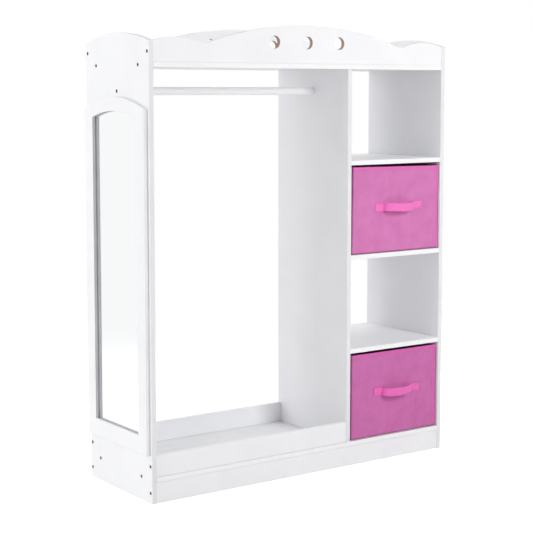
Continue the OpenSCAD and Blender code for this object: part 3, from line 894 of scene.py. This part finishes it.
def creases(along, height, total_height, phase):
    """How far the cloth stands out, in millimetres: three slow leaning waves, none at top or floor."""
    lean = CREASE_LEAN * height
    waves = 0.0
    for out, length, leaning, phased, climbing in CREASE_WAVES:
        start = phased * phase + climbing * height
        waves = waves + out * np.sin(2 * np.pi * (along + leaning * lean) / length + start)
    share = np.clip(height / total_height, 0.0, 1.0)
    return waves * np.sin(np.pi * share) ** CREASE_POWER


def welt(rise):
    """How far the wall stands out over its lower edge: a rounded welt."""
    return WELT_OUT * np.exp(-(((rise - BOTTOM_LIFT - WELT_RISE) / WELT_HALF) ** 2))


# %% Place of the handle and folds under it
TAB = 27.0
SWELLING = 0.5
SWELLING_REACH = 16.0
# For each fold: the angle of its ray in degrees, upwards from the way to the handle's middle, and how
# far the fold stands out
FOLDS = ((28.0, 0.42), (155.0, 0.3), (-70.0, 0.22))
FOLD_HALF = 5.0
FOLD_LONG = 26.0
FOLD_START = 10.0


def handle_place(bin_name):
    """Middle of the handle's back, its half span, reach and width, in bin millimetres."""
    zero = bin_place(bin_name)[0]
    low, high = [(np.array(end) - zero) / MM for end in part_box(bin_name + "_handle")]
    middle = np.array([(low[0] + high[0]) / 2, high[1], (low[2] + high[2]) / 2])
    return {
        "middle": middle, "half_span": (high[0] - low[0]) / 2, "reach": high[1] - low[1],
        "width": high[2] - low[2],
    }


def handle_rise(bin_name, x):
    """How far a bin's handle is raised at x, measured from its middle."""
    half_span = handle_place(bin_name)["half_span"]
    return between(BINS[bin_name]["handle"], (1 + x / half_span) / 2)


def tab_middles(bin_name):
    """For each tab of the handle: -1 or 1 for left or right, and x and z of its middle in the bin."""
    handle = handle_place(bin_name)
    offset = handle["half_span"] - TAB / 2
    return [
        (side, handle["middle"][0] + side * offset,
         handle["middle"][2] + handle_rise(bin_name, side * offset))
        for side in (-1, 1)
    ]


def pulled_folds(bin_name, x, z):
    """How far the cloth stands out where a tab pulls it: a low swelling and three folds from each tab.

    The swelling is a bell curve round the tab's middle. A fold is a ridge along a ray from there: it
    falls off across the ray as a bell curve and along the ray as an exponential.
    """
    pulled = 0.0
    for side, tab_x, tab_z in tab_middles(bin_name):
        right, up = x - tab_x, z - tab_z
        pulled = pulled + SWELLING * np.exp(-(right**2 + up**2) / (2 * SWELLING_REACH**2))
        for lean, strength in FOLDS:
            ray_right, ray_up = -side * np.cos(np.radians(lean)), np.sin(np.radians(lean))
            out = right * ray_right + up * ray_up
            off = right * ray_up - up * ray_right
            ridge = np.exp(-((off / FOLD_HALF) ** 2) - np.abs(out) / FOLD_LONG)
            pulled = pulled + strength * ridge * np.clip(out / FOLD_START, 0, 1)
    return pulled


# %% Cloth box
FLOOR_RINGS = 14
SEAM_TURNS = np.radians([20, 45, 70])
LIFT_POWER = 40
LOW_WALL = 8.0
LOW_RINGS = 15
HIGH_RINGS = 42


def wall_heights(start, top):
    """Heights of the rings up a wall: close together over the bottom seam, then further apart."""
    low = np.linspace(start, start + LOW_WALL, LOW_RINGS)
    high = np.linspace(start + LOW_WALL, top, HIGH_RINGS)
    return np.concatenate([low[:-1], high])


def cloth_box(bin_name, ending, inset, floor, top, corner, seam, lift=0.0, phase=None):
    """Mesh of a cloth box, open at the top: floor rings, seam rings, wall rings.

    The floor's edge is lifted by this much: the lift times the share of the way out to the power
    40. With a phase the walls also have creases, a welt and, in front, the handle's folds.
    """
    size = bin_size(bin_name)
    path, outward = rim_path(size, corner, inset)
    along = running_length(path, ring=True)
    walls = wall_heights(floor + lift + seam, top)
    floor_shares = 1 - np.linspace(1, 0, FLOOR_RINGS) ** 3
    shares = np.concatenate([floor_shares, np.ones(len(SEAM_TURNS) + len(walls))])
    insets = np.concatenate([
        np.full(FLOOR_RINGS, seam), seam * (1 - np.sin(SEAM_TURNS)), np.zeros(len(walls)),
    ])
    heights = np.concatenate([
        floor + lift * floor_shares**LIFT_POWER, floor + lift + seam * (1 - np.cos(SEAM_TURNS)), walls,
    ])
    ring = path - outward * insets[:, None, None]
    if phase is not None:
        rise = np.maximum(heights - floor, 0.0)[:, None]
        stand = creases(along[None, :-1], rise, top - floor, phase)
        stand = stand + welt(rise) * (shares[:, None] == 1)
        in_front = outward[:, 1] < -0.9
        stand = stand + pulled_folds(bin_name, ring[..., 0], heights[:, None]) * in_front
        ring = ring + outward * stand[..., None]
    middle = size[:2] / 2
    grid = np.empty((len(insets), len(path), 3))
    grid[..., :2] = middle + (ring - middle) * shares[:, None, None]
    grid[..., 2] = heights[:, None]
    across = running_length(np.stack([insets, heights], axis=1))
    return bin_mesh(bin_name, ending, grid, across, along)


# %% Covers and linings
COVER_SEAM = 1.6
LINING_SEAM = 1.0
LINING_FLOOR = CLOTH_THICK + 2 * LAYER_GAP
LINING_CORNER = LINING_IN + 1.2

for bin_name in BINS:
    wall_top = bin_size(bin_name)[2] - RIM_CLEARANCE
    cover = cloth_box(
        bin_name, "cover_sewn", COVER_IN, 0.0, wall_top, RIM_CORNER, COVER_SEAM,
        lift=BOTTOM_LIFT, phase=BINS[bin_name]["phase"],
    )
    lining = cloth_box(
        bin_name, "lining_sewn", LINING_IN, LINING_FLOOR, wall_top, LINING_CORNER, LINING_SEAM
    )
    for mesh, part in ((cover, "cover"), (lining, "lining")):
        thickened(bin_piece(bin_name, mesh, cloth[bin_name], "bin_fabric", part), CLOTH_THICK)

# %% [markdown]
# ## Boards inside the bins
#
# Four boards stiffen the walls between the cover and the lining, and a loose cloth-covered board
# lies on the floor. A board is a box whose edges are a little round, with enough points on it that
# it can bow with the wall.

# %% Boards inside the bins
BOARD_FOOT = 5.5
BOARD_HEADROOM = 0.2
BOARD_EDGE = 0.4
BASE_IN = LINING_IN + CLOTH_THICK + 0.5
BASE_FOOT = 2 * CLOTH_THICK + 2 * LAYER_GAP
BASE_THICK = 3.0
BASE_EDGE = 1.3
SLAB_RINGS = 36
SLAB_SIDES = 72


def soft_slab(bin_name, ending, low, high, edge):
    """A closed box between two corners, in millimetres, round at its edges.

    The grid wraps a sphere: latitude from below to above and longitude round the slab. Each point
    is pushed out to a cube and stretched to the box, and then drawn in round its edges.
    """
    low, high = np.array(low), np.array(high)
    half = (high - low) / 2
    latitude = np.linspace(-np.pi / 2, np.pi / 2, SLAB_RINGS)[:, None]
    longitude = np.linspace(-np.pi, np.pi, SLAB_SIDES, endpoint=False)[None, :]
    unit = np.stack([
        np.cos(latitude) * np.cos(longitude), np.cos(latitude) * np.sin(longitude),
        np.sin(latitude) * np.ones_like(longitude),
    ], axis=-1)
    pushed = unit / np.abs(unit).max(axis=-1, keepdims=True) * half
    core = np.clip(pushed, -(half - edge), half - edge)
    offset = pushed - core
    length = np.maximum(np.linalg.norm(offset, axis=-1, keepdims=True), 1e-9)
    points = (low + high) / 2 + core + offset / length * np.minimum(length, edge)
    across = np.linspace(0, (high - low).max(), SLAB_RINGS)
    along = np.linspace(0, 2 * (high - low)[:2].sum(), SLAB_SIDES + 1)
    return bin_mesh(bin_name, ending, points, across, along)


def wall_boards(bin_name):
    """For each stiffener, its lower left front corner and its upper right rear one."""
    width, depth, height = bin_size(bin_name)
    near, far = BOARD_IN, BOARD_IN + BOARD_THICK
    wide, deep = (RIM_CORNER, width - RIM_CORNER), (RIM_CORNER, depth - RIM_CORNER)
    spans = {
        "front_stiffener": (wide, (near, far)), "rear_stiffener": (wide, (depth - far, depth - near)),
        "left_stiffener": ((near, far), deep), "right_stiffener": ((width - far, width - near), deep),
    }
    top = height - RIM_CLEARANCE - BOARD_HEADROOM
    return {part: ((x[0], y[0], BOARD_FOOT), (x[1], y[1], top)) for part, (x, y) in spans.items()}


for bin_name in BINS:
    for part, (low, high) in wall_boards(bin_name).items():
        mesh = soft_slab(bin_name, part + "_bowed", low, high, BOARD_EDGE)
        bin_piece(bin_name, mesh, card, "bin_stiffener", part)
    width, depth = bin_size(bin_name)[:2]
    low = (BASE_IN, BASE_IN, BASE_FOOT)
    high = (width - BASE_IN, depth - BASE_IN, BASE_FOOT + BASE_THICK)
    mesh = soft_slab(bin_name, "base_board_covered", low, high, BASE_EDGE)
    bin_piece(bin_name, mesh, cloth[bin_name], "bin_fabric", "base_board")

# %% [markdown]
# ## Rim tape
#
# A strip of woven tape is folded over the top of the walls and sewn through all the layers. Its
# profile goes up the outside, over the rim and down the inside, and it is carried round the same
# path as the cover. The stitch line pulls a shallow groove into both legs.

# %% Rim tape
TAPE_HIGH = 8.5
TAPE_THICK = 0.5
TAPE_FOLD = 1.6
TAPE_CORNER = RIM_CORNER + 0.2
TAPE_STEPS = 72
LEG_STEPS = 14
FOLD_STEPS = 7
STITCH_DROP = 5.0
STITCH_PITCH = 3.2
GROOVE = 0.22
GROOVE_HALF = 0.7
PUCKER = 0.06


def tape_profile(height):
    """Profile of the folded tape as (inset, height): outer leg, quarter fold, top, fold, inner leg."""
    leg = np.linspace(height - TAPE_HIGH, height - TAPE_FOLD, LEG_STEPS)
    turn = np.linspace(0, np.pi / 2, FOLD_STEPS)[1:]
    groove = GROOVE * np.exp(-(((leg - (height - STITCH_DROP)) / GROOVE_HALF) ** 2))
    outer = np.stack([groove, leg], axis=1)
    over = np.stack(
        [TAPE_FOLD * (1 - np.cos(turn)), height - TAPE_FOLD + TAPE_FOLD * np.sin(turn)], axis=1
    )
    half = np.vstack([outer, over])
    other = half[::-1] * [-1, 1] + [WALL_TOTAL, 0]
    return np.vstack([half, other])


def rim_tape(bin_name):
    """The tape's profile carried round the bin, with puckers between the stitches of its outer leg."""
    size = bin_size(bin_name)
    path, outward = rim_path(size, TAPE_CORNER, 0.0, TAPE_STEPS)
    profile = tape_profile(size[2])
    along = running_length(path, ring=True)
    on_outer_leg = profile[:, 0, None] < TAPE_FOLD
    puckers = PUCKER * np.sin(2 * np.pi * along[:-1] / STITCH_PITCH) * on_outer_leg
    grid = np.empty((len(profile), len(path), 3))
    grid[..., :2] = path - outward * (profile[:, 0, None] - puckers)[..., None]
    grid[..., 2] = profile[:, 1, None]
    return bin_mesh(bin_name, "rim_tape", grid, running_length(profile), along)


for bin_name in BINS:
    rim = bin_piece(bin_name, rim_tape(bin_name), tape[bin_name], "bin_trim", "binding")
    thickened(rim, TAPE_THICK)

# %% [markdown]
# ## Corner tape
#
# The walls are two lengths of cloth, each bent round one corner, and the same tape covers the two
# upright seams where they meet: at the right front and at the left rear. It lies on the wall before
# the corner and is tucked into the seam part of the way round it. It is a strip of the path round
# the bin, lifted off the cover by its thickness, with its free edge down on the cloth and a groove
# where it is sewn.

# %% Corner tape
CORNER_TAPE = 8.7
CORNER_SEAM = 4.4
CORNER_GROOVE = 0.18
CORNER_RADIUS = RIM_CORNER - COVER_IN
TUCKED = 0.68
FREE_EDGE = 0.5
TAPE_FOOT = BOTTOM_LIFT + 0.4
UNDER_RIM = 0.3
CORNER_STEPS = 31
CORNER_LEVELS = 60
TAPED_CORNERS = (0, 2)


def corner_tape(bin_name, corner_number):
    """A strip that follows the path for a tape's width before an upright corner and round it."""
    size = bin_size(bin_name)
    end = TUCKED * CORNER_RADIUS * np.pi / 2
    travel = np.linspace(-CORNER_TAPE, end, CORNER_STEPS)
    out, forward = wall_directions(corner_number, np.clip(travel / CORNER_RADIUS, 0, np.pi / 2))
    to_edge = np.minimum(travel + CORNER_TAPE, end - travel)
    lift = TAPE_THICK * np.clip(to_edge / FREE_EDGE, 0, 1) ** 0.5
    lift -= CORNER_GROOVE * np.exp(-(((travel + CORNER_SEAM) / GROOVE_HALF) ** 2))
    straight = np.minimum(travel, 0)
    centre = corner_centres(size, RIM_CORNER)[corner_number]
    plan = centre + out * (CORNER_RADIUS + lift)[:, None] + forward * straight[:, None]
    levels = np.linspace(TAPE_FOOT, size[2] - TAPE_HIGH + UNDER_RIM, CORNER_LEVELS)
    grid = np.empty((len(levels), len(plan), 3))
    grid[..., :2] = plan + out * welt(levels)[:, None, None]
    grid[..., 2] = levels[:, None]
    return bin_mesh(bin_name, f"corner_tape_{corner_number + 1}", grid, levels, travel, ring=False)


for bin_name in BINS:
    for corner_number in TAPED_CORNERS:
        strip = corner_tape(bin_name, corner_number)
        thickened(bin_piece(bin_name, strip, tape[bin_name], "bin_trim"), TAPE_THICK)

# %% [markdown]
# ## Webbing handle
#
# The handle is one length of webbing. Each end is folded under, so that a tab is two layers thick,
# and sewn flat to the cover. Between the two tabs the webbing springs out in a loop, steeply at its
# left end and more gently at its right, and it sags and tilts differently on the two bins. Seen from
# above, the left half of the loop is a quarter of a rounded arch, and the right half is a quarter
# of a wave. A cross-section that is thinner at its two selvedges is carried along the path. On the
# tabs its back reaches down to the cloth.

# %% Path of the webbing
ARCH_POWER = 2.6
WAVE_POWER = 0.9
CREST = -0.18
WEBBING_THICK = 1.6
TAB_THICK = 3.1
LOOP_STEPS = 400
TAB_STEPS = 40
PATH_STEPS = 170


def webbing_path(half_span, reach, sag):
    """Middle line of the webbing's outer layer as (x, out, up), in even steps along it.

    On the tabs it lies on the layer folded under. Between them t is the share of the way from the
    crest to a tab. On the left, out is the reach times (1 - t**p) ** (1 / p); on the right it is
    the reach times a power of cos(t * pi / 2). The sag changes evenly from left to right and grows
    with out. The bends are softened by a short moving average.
    """
    loop_half = half_span - TAB
    angle = np.linspace(-np.pi / 2, np.pi / 2, LOOP_STEPS)
    on_left = angle < 0
    share = np.where(on_left, np.abs(np.sin(angle)) ** (2 / ARCH_POWER), 2 * np.abs(angle) / np.pi)
    s = CREST + np.where(on_left, -share * (1 + CREST), share * (1 - CREST))
    out = np.abs(np.cos(angle)) ** np.where(on_left, 2 / ARCH_POWER, WAVE_POWER)
    resting = TAB_THICK - WEBBING_THICK / 2
    loop = np.stack([
        s * loop_half, resting + out * (reach - TAB_THICK), -(out**0.5) * between(sag, (1 + s) / 2),
    ], axis=1)
    tab = np.zeros((TAB_STEPS, 3))
    tab[:, 0] = np.linspace(-half_span, -loop_half, TAB_STEPS)
    tab[:, 1] = resting
    other_tab = tab[::-1] * [-1, 1, 1]
    path = np.vstack([tab[:-1], loop, other_tab[1:]])
    travelled = running_length(path)
    path = resampled(path, travelled, np.linspace(0, travelled[-1], PATH_STEPS))
    kernel = np.array([1, 2, 3, 2, 1]) / 9
    path[2:-2] = np.stack([np.convolve(column, kernel, "valid") for column in path.T], axis=1)
    return path, running_length(path)


def webbing_face(path):
    """Unit vectors out of the webbing's face, in (x, out, up) terms."""
    along = np.gradient(path, axis=0)
    face = np.cross([0.0, 0.0, 1.0], along)
    return face / np.linalg.norm(face, axis=1, keepdims=True)


# %% Handle
SECTION_SIDES = 40
UP_POWER = 0.35
OUT_POWER = 0.6
SELVEDGE_AT = 6.8
SELVEDGE_HALF = 0.8
SELVEDGE_DIP = 0.14
TAB_BLEND = 1.2
# The section's ends shrink to this share of its size, and it is full again this far from them
END_TAPER = 0.82
END_ROUND = 0.45


def webbing_section(width, on_tab):
    """Cross-section of the webbing: how far up and, for each step of the path, how far out it goes.

    Both are a cosine or sine that keeps its sign and is raised to a small power, so the section is a
    rectangle with soft corners. It is thinner on a line near each selvedge.
    """
    turn = np.linspace(0, 2 * np.pi, SECTION_SIDES, endpoint=False)
    up = np.sign(np.cos(turn)) * np.abs(np.cos(turn)) ** UP_POWER * width / 2
    side = np.sign(np.sin(turn)) * np.abs(np.sin(turn)) ** OUT_POWER
    side *= 1 - SELVEDGE_DIP * np.exp(-(((np.abs(up) - SELVEDGE_AT) / SELVEDGE_HALF) ** 2))
    back = between((WEBBING_THICK / 2, TAB_THICK - WEBBING_THICK / 2), on_tab)[:, None]
    return up, np.where(side > 0, side * WEBBING_THICK / 2, side * back)


def handle_mesh(bin_name):
    """Webbing: the section carried along the path, a little smaller and closed at both ends."""
    handle = handle_place(bin_name)
    half_span, width = handle["half_span"], handle["width"]
    path, travelled = webbing_path(half_span, handle["reach"], BINS[bin_name]["sag"])
    on_tab = np.clip((np.abs(path[:, 0]) - (half_span - TAB)) / TAB_BLEND + 0.5, 0.0, 1.0)
    up, out = webbing_section(width, on_tab)
    points = path[:, None, :] + (
        up[None, :, None] * np.array([0, 0, 1.0]) + out[..., None] * webbing_face(path)[:, None, :]
    )
    heart = points.mean(axis=1, keepdims=True)
    for end, step in ((0, 1), (-1, -1)):
        points[end] = heart[end] + (points[end] - heart[end]) * END_TAPER
        points[end + step][:, 0] = points[end, :, 0] + END_ROUND * step
    ends = np.broadcast_to(heart[[0, -1]], (2, SECTION_SIDES, 3))
    points = np.concatenate([ends[:1], points, ends[1:]])
    travelled = np.concatenate([travelled[:1], travelled, travelled[-1:]])
    points[..., 2] += handle_rise(bin_name, points[..., 0])
    grid = np.array([1, -1, 1]) * points + handle["middle"]
    around = np.linspace(0, 2 * (width + WEBBING_THICK), SECTION_SIDES + 1)
    return bin_mesh(bin_name, "handle_webbing", grid, travelled, around, outwards=True)


for bin_name in BINS:
    bin_piece(bin_name, handle_mesh(bin_name), webbing[bin_name], "bin_trim", "handle")

# %% [markdown]
# ## Stitches
#
# Thread shows along the rim tape, down the corner tapes and round the handle's tabs. A stitch is a
# short thread that dives into the cloth at both ends. All stitches of a bin are one mesh: a small
# capsule of six rings of six points is bent into a low arch, and copies of it are set along the
# seams as one array.

# %% One stitch
STITCH_LONG = 2.5
STITCH_ROUND = 0.3
STITCH_DIVE = 0.35
STITCH_SIDES = 6
# For each ring of a stitch: its place from end to end, and its share of the full radius
STITCH_STATIONS = np.array([-1.0, -0.82, -0.35, 0.35, 0.82, 1.0])
STITCH_FULLNESS = np.array([0.0, 0.7, 1.0, 1.0, 0.7, 0.0])


def stitch_points(centres, along, out):
    """Points (stitch, ring, side, xyz) of capsules at these centres with these directions.

    Along a stitch u goes from -1 to 1: its radius is full in the middle and nothing at the ends,
    and it sinks with the square of u.
    """
    u = STITCH_STATIONS[:, None]
    radius = STITCH_ROUND * STITCH_FULLNESS[:, None]
    turn = np.linspace(0, 2 * np.pi, STITCH_SIDES, endpoint=False)
    along, out = along[:, None, None, :], out[:, None, None, :]
    lengthwise = (u * STITCH_LONG / 2)[..., None] * along
    raised = (radius * np.sin(turn) - STITCH_DIVE * u**2)[..., None] * out
    beside = (radius * np.cos(turn))[..., None] * np.cross(along, out)
    return centres[:, None, None, :] + lengthwise + raised + beside


def stitched_line(start, end, out, pitch=STITCH_PITCH):
    """Stitch centres and directions at even steps along a straight seam."""
    start, end = np.array(start, float), np.array(end, float)
    length = np.linalg.norm(end - start)
    count = max(int(round(length / pitch)), 1)
    share = (np.arange(count) + 0.5) / count
    centres = start + (end - start) * share[:, None]
    directions = np.tile((end - start) / length, (count, 1))
    return centres, directions, np.tile(np.array(out, float), (count, 1))


# %% Seams
# The first stitch of the rim lies in the first valley of the tape's puckers
FIRST_STITCH = 0.75 * STITCH_PITCH
RIM_PROUD = 0.12
CORNER_STAND = 0.38
CORNER_FOOT = 9.0
TAB_SINK = 0.08
TAB_PITCH = 2.9
TAB_SEAM_IN = 3.4
TAB_SEAM_END = 3.2


def rim_seams(size):
    """Stitches round the rim tape, outside and inside, at even steps of the path."""
    rows = []
    for inset, sign in ((GROOVE - RIM_PROUD, 1.0), (WALL_TOTAL - GROOVE + RIM_PROUD, -1.0)):
        path, outward = rim_path(size, TAPE_CORNER, inset, TAPE_STEPS)
        travelled = running_length(path, ring=True)
        steps = np.arange(FIRST_STITCH, travelled[-1], STITCH_PITCH)
        centres, out = (
            resampled(np.vstack([table, table[:1]]), travelled, steps) for table in (path, outward)
        )
        out = np.pad(sign * out / np.linalg.norm(out, axis=1, keepdims=True), ((0, 0), (0, 1)))
        centres = np.hstack([centres, np.full((len(steps), 1), size[2] - STITCH_DROP)])
        rows.append((centres, np.cross([0.0, 0.0, 1.0], out), out))
    return rows


def corner_seams(size):
    """Stitches down the corner tapes."""
    rows = []
    for corner_number in TAPED_CORNERS:
        out, forward = wall_directions(corner_number)
        foot = corner_centres(size, RIM_CORNER)[corner_number]
        foot = foot + out * (CORNER_RADIUS + CORNER_STAND) - forward * CORNER_SEAM
        rows.append(stitched_line((*foot, CORNER_FOOT), (*foot, size[2] - TAPE_HIGH), (*out, 0.0)))
    return rows


def tab_seams(bin_name):
    """A box of stitches on each tab of the handle, on the webbing's face."""
    handle = handle_place(bin_name)
    y = handle["middle"][1] - TAB_THICK + TAB_SINK
    half_high = handle["width"] / 2 - TAB_SEAM_IN
    rows = []
    for side, x, z in tab_middles(bin_name):
        outer, inner = x + side * (TAB / 2 - TAB_SEAM_END), x - side * (TAB / 2 - TAB_SEAM_IN)
        low, high = z - half_high, z + half_high
        corners = [(outer, y, low), (inner, y, low), (inner, y, high), (outer, y, high)]
        for start, end in zip(corners, corners[1:] + corners[:1]):
            rows.append(stitched_line(start, end, (0, -1, 0), TAB_PITCH))
    return rows


# %% Stitches
def stitches_mesh(bin_name):
    """Every stitch of a bin in one mesh: rings of one capsule after another, joined by quads."""
    size = bin_size(bin_name)
    rows = rim_seams(size) + corner_seams(size) + tab_seams(bin_name)
    centres, along, out = (np.concatenate(column) for column in zip(*rows))
    points = in_frame(bin_name, stitch_points(centres, along, out))
    stitches, rings, sides = points.shape[:3]
    stitch, ring, side = np.meshgrid(
        np.arange(stitches), np.arange(rings - 1), np.arange(sides), indexing="ij"
    )

    def corner(ring_step, side_step):
        """Numbers of the points that lie so many rings and sides on from each quad's first point."""
        return ((stitch * rings + ring + ring_step) * sides + (side + side_step) % sides).ravel()

    quads = np.stack([corner(0, 0), corner(0, 1), corner(1, 1), corner(1, 0)], axis=1)
    mesh = bpy.data.meshes.new(bin_name + "_stitches")
    mesh.from_pydata(points.reshape(-1, 3).tolist(), [], quads.tolist())
    print(bin_name, "stitches:", stitches)
    return welded(mesh, outwards=True)


for bin_name in BINS:
    bin_piece(bin_name, stitches_mesh(bin_name), sewing_thread, "bin_trim")

# %% [markdown]
# ## The studio around it
#
# A white room lights the unit from all sides, but not evenly. Walls that are lit themselves send
# more light than dark ones, so the sky here is the sum of a few soft lobes, each a power of how
# closely a direction agrees with the lobe's own. The camera and the mirror don't see this: for
# their rays the sky is plain white.

# %% World
# For each lobe: its direction, its power and its strength
SKY_LOBES = {
    "left": ((-1.0, 0.0, 0.1), 2.0, 1.14),
    "right": ((1.0, 0.0, 0.1), 2.0, 0.4),
    "above": ((0.0, 0.0, 1.0), 2.0, 0.28),
    "above_back": ((0.0, 0.7, 0.7), 3.0, 0.7),
}


def seen_directly(tree):
    """1 for camera, mirror and glass rays, 0 for rays that only carry light."""
    rays = add_node(tree, "LightPath").outputs
    seen = calculated(tree, "MAXIMUM", rays["Is Camera Ray"], rays["Is Glossy Ray"])
    return calculated(tree, "MAXIMUM", seen, rays["Is Transmission Ray"])


world = bpy.data.worlds.new("studio")
bpy.context.scene.world = world
world.use_nodes = True
sky = world.node_tree
sky_light = 0.0
direction = add_node(sky, "TexCoord").outputs["Generated"]
for aim, sharpness, strength in SKY_LOBES.values():
    aim = tuple(Vector(aim).normalized())
    agreement = add_node(sky, "VectorMath", {0: direction, 1: aim}, operation="DOT_PRODUCT")
    ahead = calculated(sky, "MAXIMUM", agreement.outputs["Value"], 0.0)
    lobe = calculated(sky, "POWER", ahead, sharpness)
    sky_light = calculated(sky, "MULTIPLY_ADD", lobe, strength, sky_light)
level = spread(sky, seen_directly(sky), low=0.0, high=1.0, start=sky_light, end=1.0)
sky.links.new(level, sky.nodes["Background"].inputs["Strength"])
sky.nodes["Background"].inputs["Color"].default_value = (1.0, 1.0, 1.0, 1.0)
print("sky lobes:", list(SKY_LOBES))

# %% [markdown]
# ## The floor
#
# The floor is a wide white disc. It catches the unit's shadow and throws light back up like any
# white floor. The camera sees it with a glow added, so that all but the closest shadow is lost in
# white, as in an overexposed studio, and far out it is nothing but glow, so its rim doesn't show.

# %% Floor
FLOOR_WHITE = (0.82, 0.82, 0.82)
FLOOR_REACH = 3.2
FLOOR_DROP = 0.0002
FLOOR_SIDES = 96
FLOOR_FADE = (1.1, 2.6)
FLOOR_GLOW = 0.58


def floor_finish():
    """White floor. For rays that see it, a glow is added that grows to plain white further out."""
    material, tree, shader = new_finish("studio_floor", FLOOR_WHITE, Roughness=0.9)
    place = add_node(tree, "SeparateXYZ", {"Vector": object_coordinates(tree)})
    flat = add_node(tree, "CombineXYZ", {"X": place.outputs["X"], "Y": place.outputs["Y"]})
    distance = add_node(tree, "VectorMath", {0: flat.outputs[0]}, operation="LENGTH").outputs["Value"]
    fade = add_node(tree, "MapRange", {
        "Value": distance, "From Min": FLOOR_FADE[0], "From Max": FLOOR_FADE[1],
    }, interpolation_type="SMOOTHSTEP").outputs["Result"]
    white = add_node(tree, "Emission", {"Strength": 1.0}).outputs[0]
    glow = add_node(tree, "Emission", {"Strength": FLOOR_GLOW}).outputs[0]
    near = add_node(tree, "AddShader", {0: shader.outputs[0], 1: glow}).outputs[0]
    shown = add_node(tree, "MixShader", {0: fade, 1: near, 2: white}).outputs[0]
    mix = add_node(tree, "MixShader", {0: seen_directly(tree), 1: shader.outputs[0], 2: shown})
    tree.links.new(mix.outputs[0], tree.nodes["Material Output"].inputs["Surface"])
    return material


def disc(reach, height, sides):
    """Points of a flat disc, as two rings: the rim and the middle."""
    turn = np.linspace(0, 2 * np.pi, sides, endpoint=False)
    radius = np.array([reach, 0.0])[:, None]
    level = np.full((2, sides), height)
    return np.stack([radius * np.cos(turn), radius * np.sin(turn), level], axis=-1)


floor_mesh = grid_mesh(
    "studio_floor", disc(FLOOR_REACH, -FLOOR_DROP, FLOOR_SIDES), np.array([0.0, 1.0]),
    np.linspace(0, 1, FLOOR_SIDES + 1), ring=True,
)
floor_mesh.materials.append(floor_finish())
studio_floor = new_object("studio_floor", floor_mesh)
print("floor faces:", len(floor_mesh.polygons))

# %% [markdown]
# ## Lamps
#
# Soft boxes stand where the shading of the boards puts them. Two in front at the right, one over the
# other, light the fronts and throw the handles' shadows. Three at the left, one beside the unit, one
# further back and one high up, light the left panel and the mirror frame, and a wide one hangs
# overhead. Neither the camera nor the mirror sees them.

# %% Lamps
# For each lamp: its place, the point it faces, its width and height, and its power in watts
LAMPS = {
    "key_lamp": ((0.6, -2.8, 2.1), (0.1, 0.0, 0.6), (0.7, 0.7), 38.0),
    "low_key_lamp": ((0.6, -3.0, 1.3), (0.1, 0.0, 0.6), (0.7, 0.7), 15.0),
    "side_lamp": ((-3.23, 0.41, 0.85), (-0.2, 0.0, 0.6), (1.0, 1.8), 6.0),
    "rear_side_lamp": ((-3.1, 1.03, 0.85), (-0.2, 0.0, 0.6), (1.0, 1.8), 11.0),
    "high_side_lamp": ((-4.2, -0.5, 3.4), (-0.3, 0.0, 0.4), (0.8, 0.8), 14.0),
    "ceiling_lamp": ((0.0, 0.5, 3.2), (0.0, 0.0, 0.6), (2.0, 2.0), 9.0),
}


def soft_lamp(name, place, target, size, power):
    """A rectangular soft box that faces a target point."""
    light = bpy.data.lights.new(name, "AREA")
    light.shape = "RECTANGLE"
    light.size, light.size_y = size
    light.energy = power
    lamp = aimed_object(name, light, place, Vector(target) - Vector(place))
    lamp.visible_camera = False
    lamp.visible_glossy = False


for name, settings in LAMPS.items():
    soft_lamp(name, *settings)
bpy.context.scene.view_settings.view_transform = "Standard"
print("lamps:", list(LAMPS))
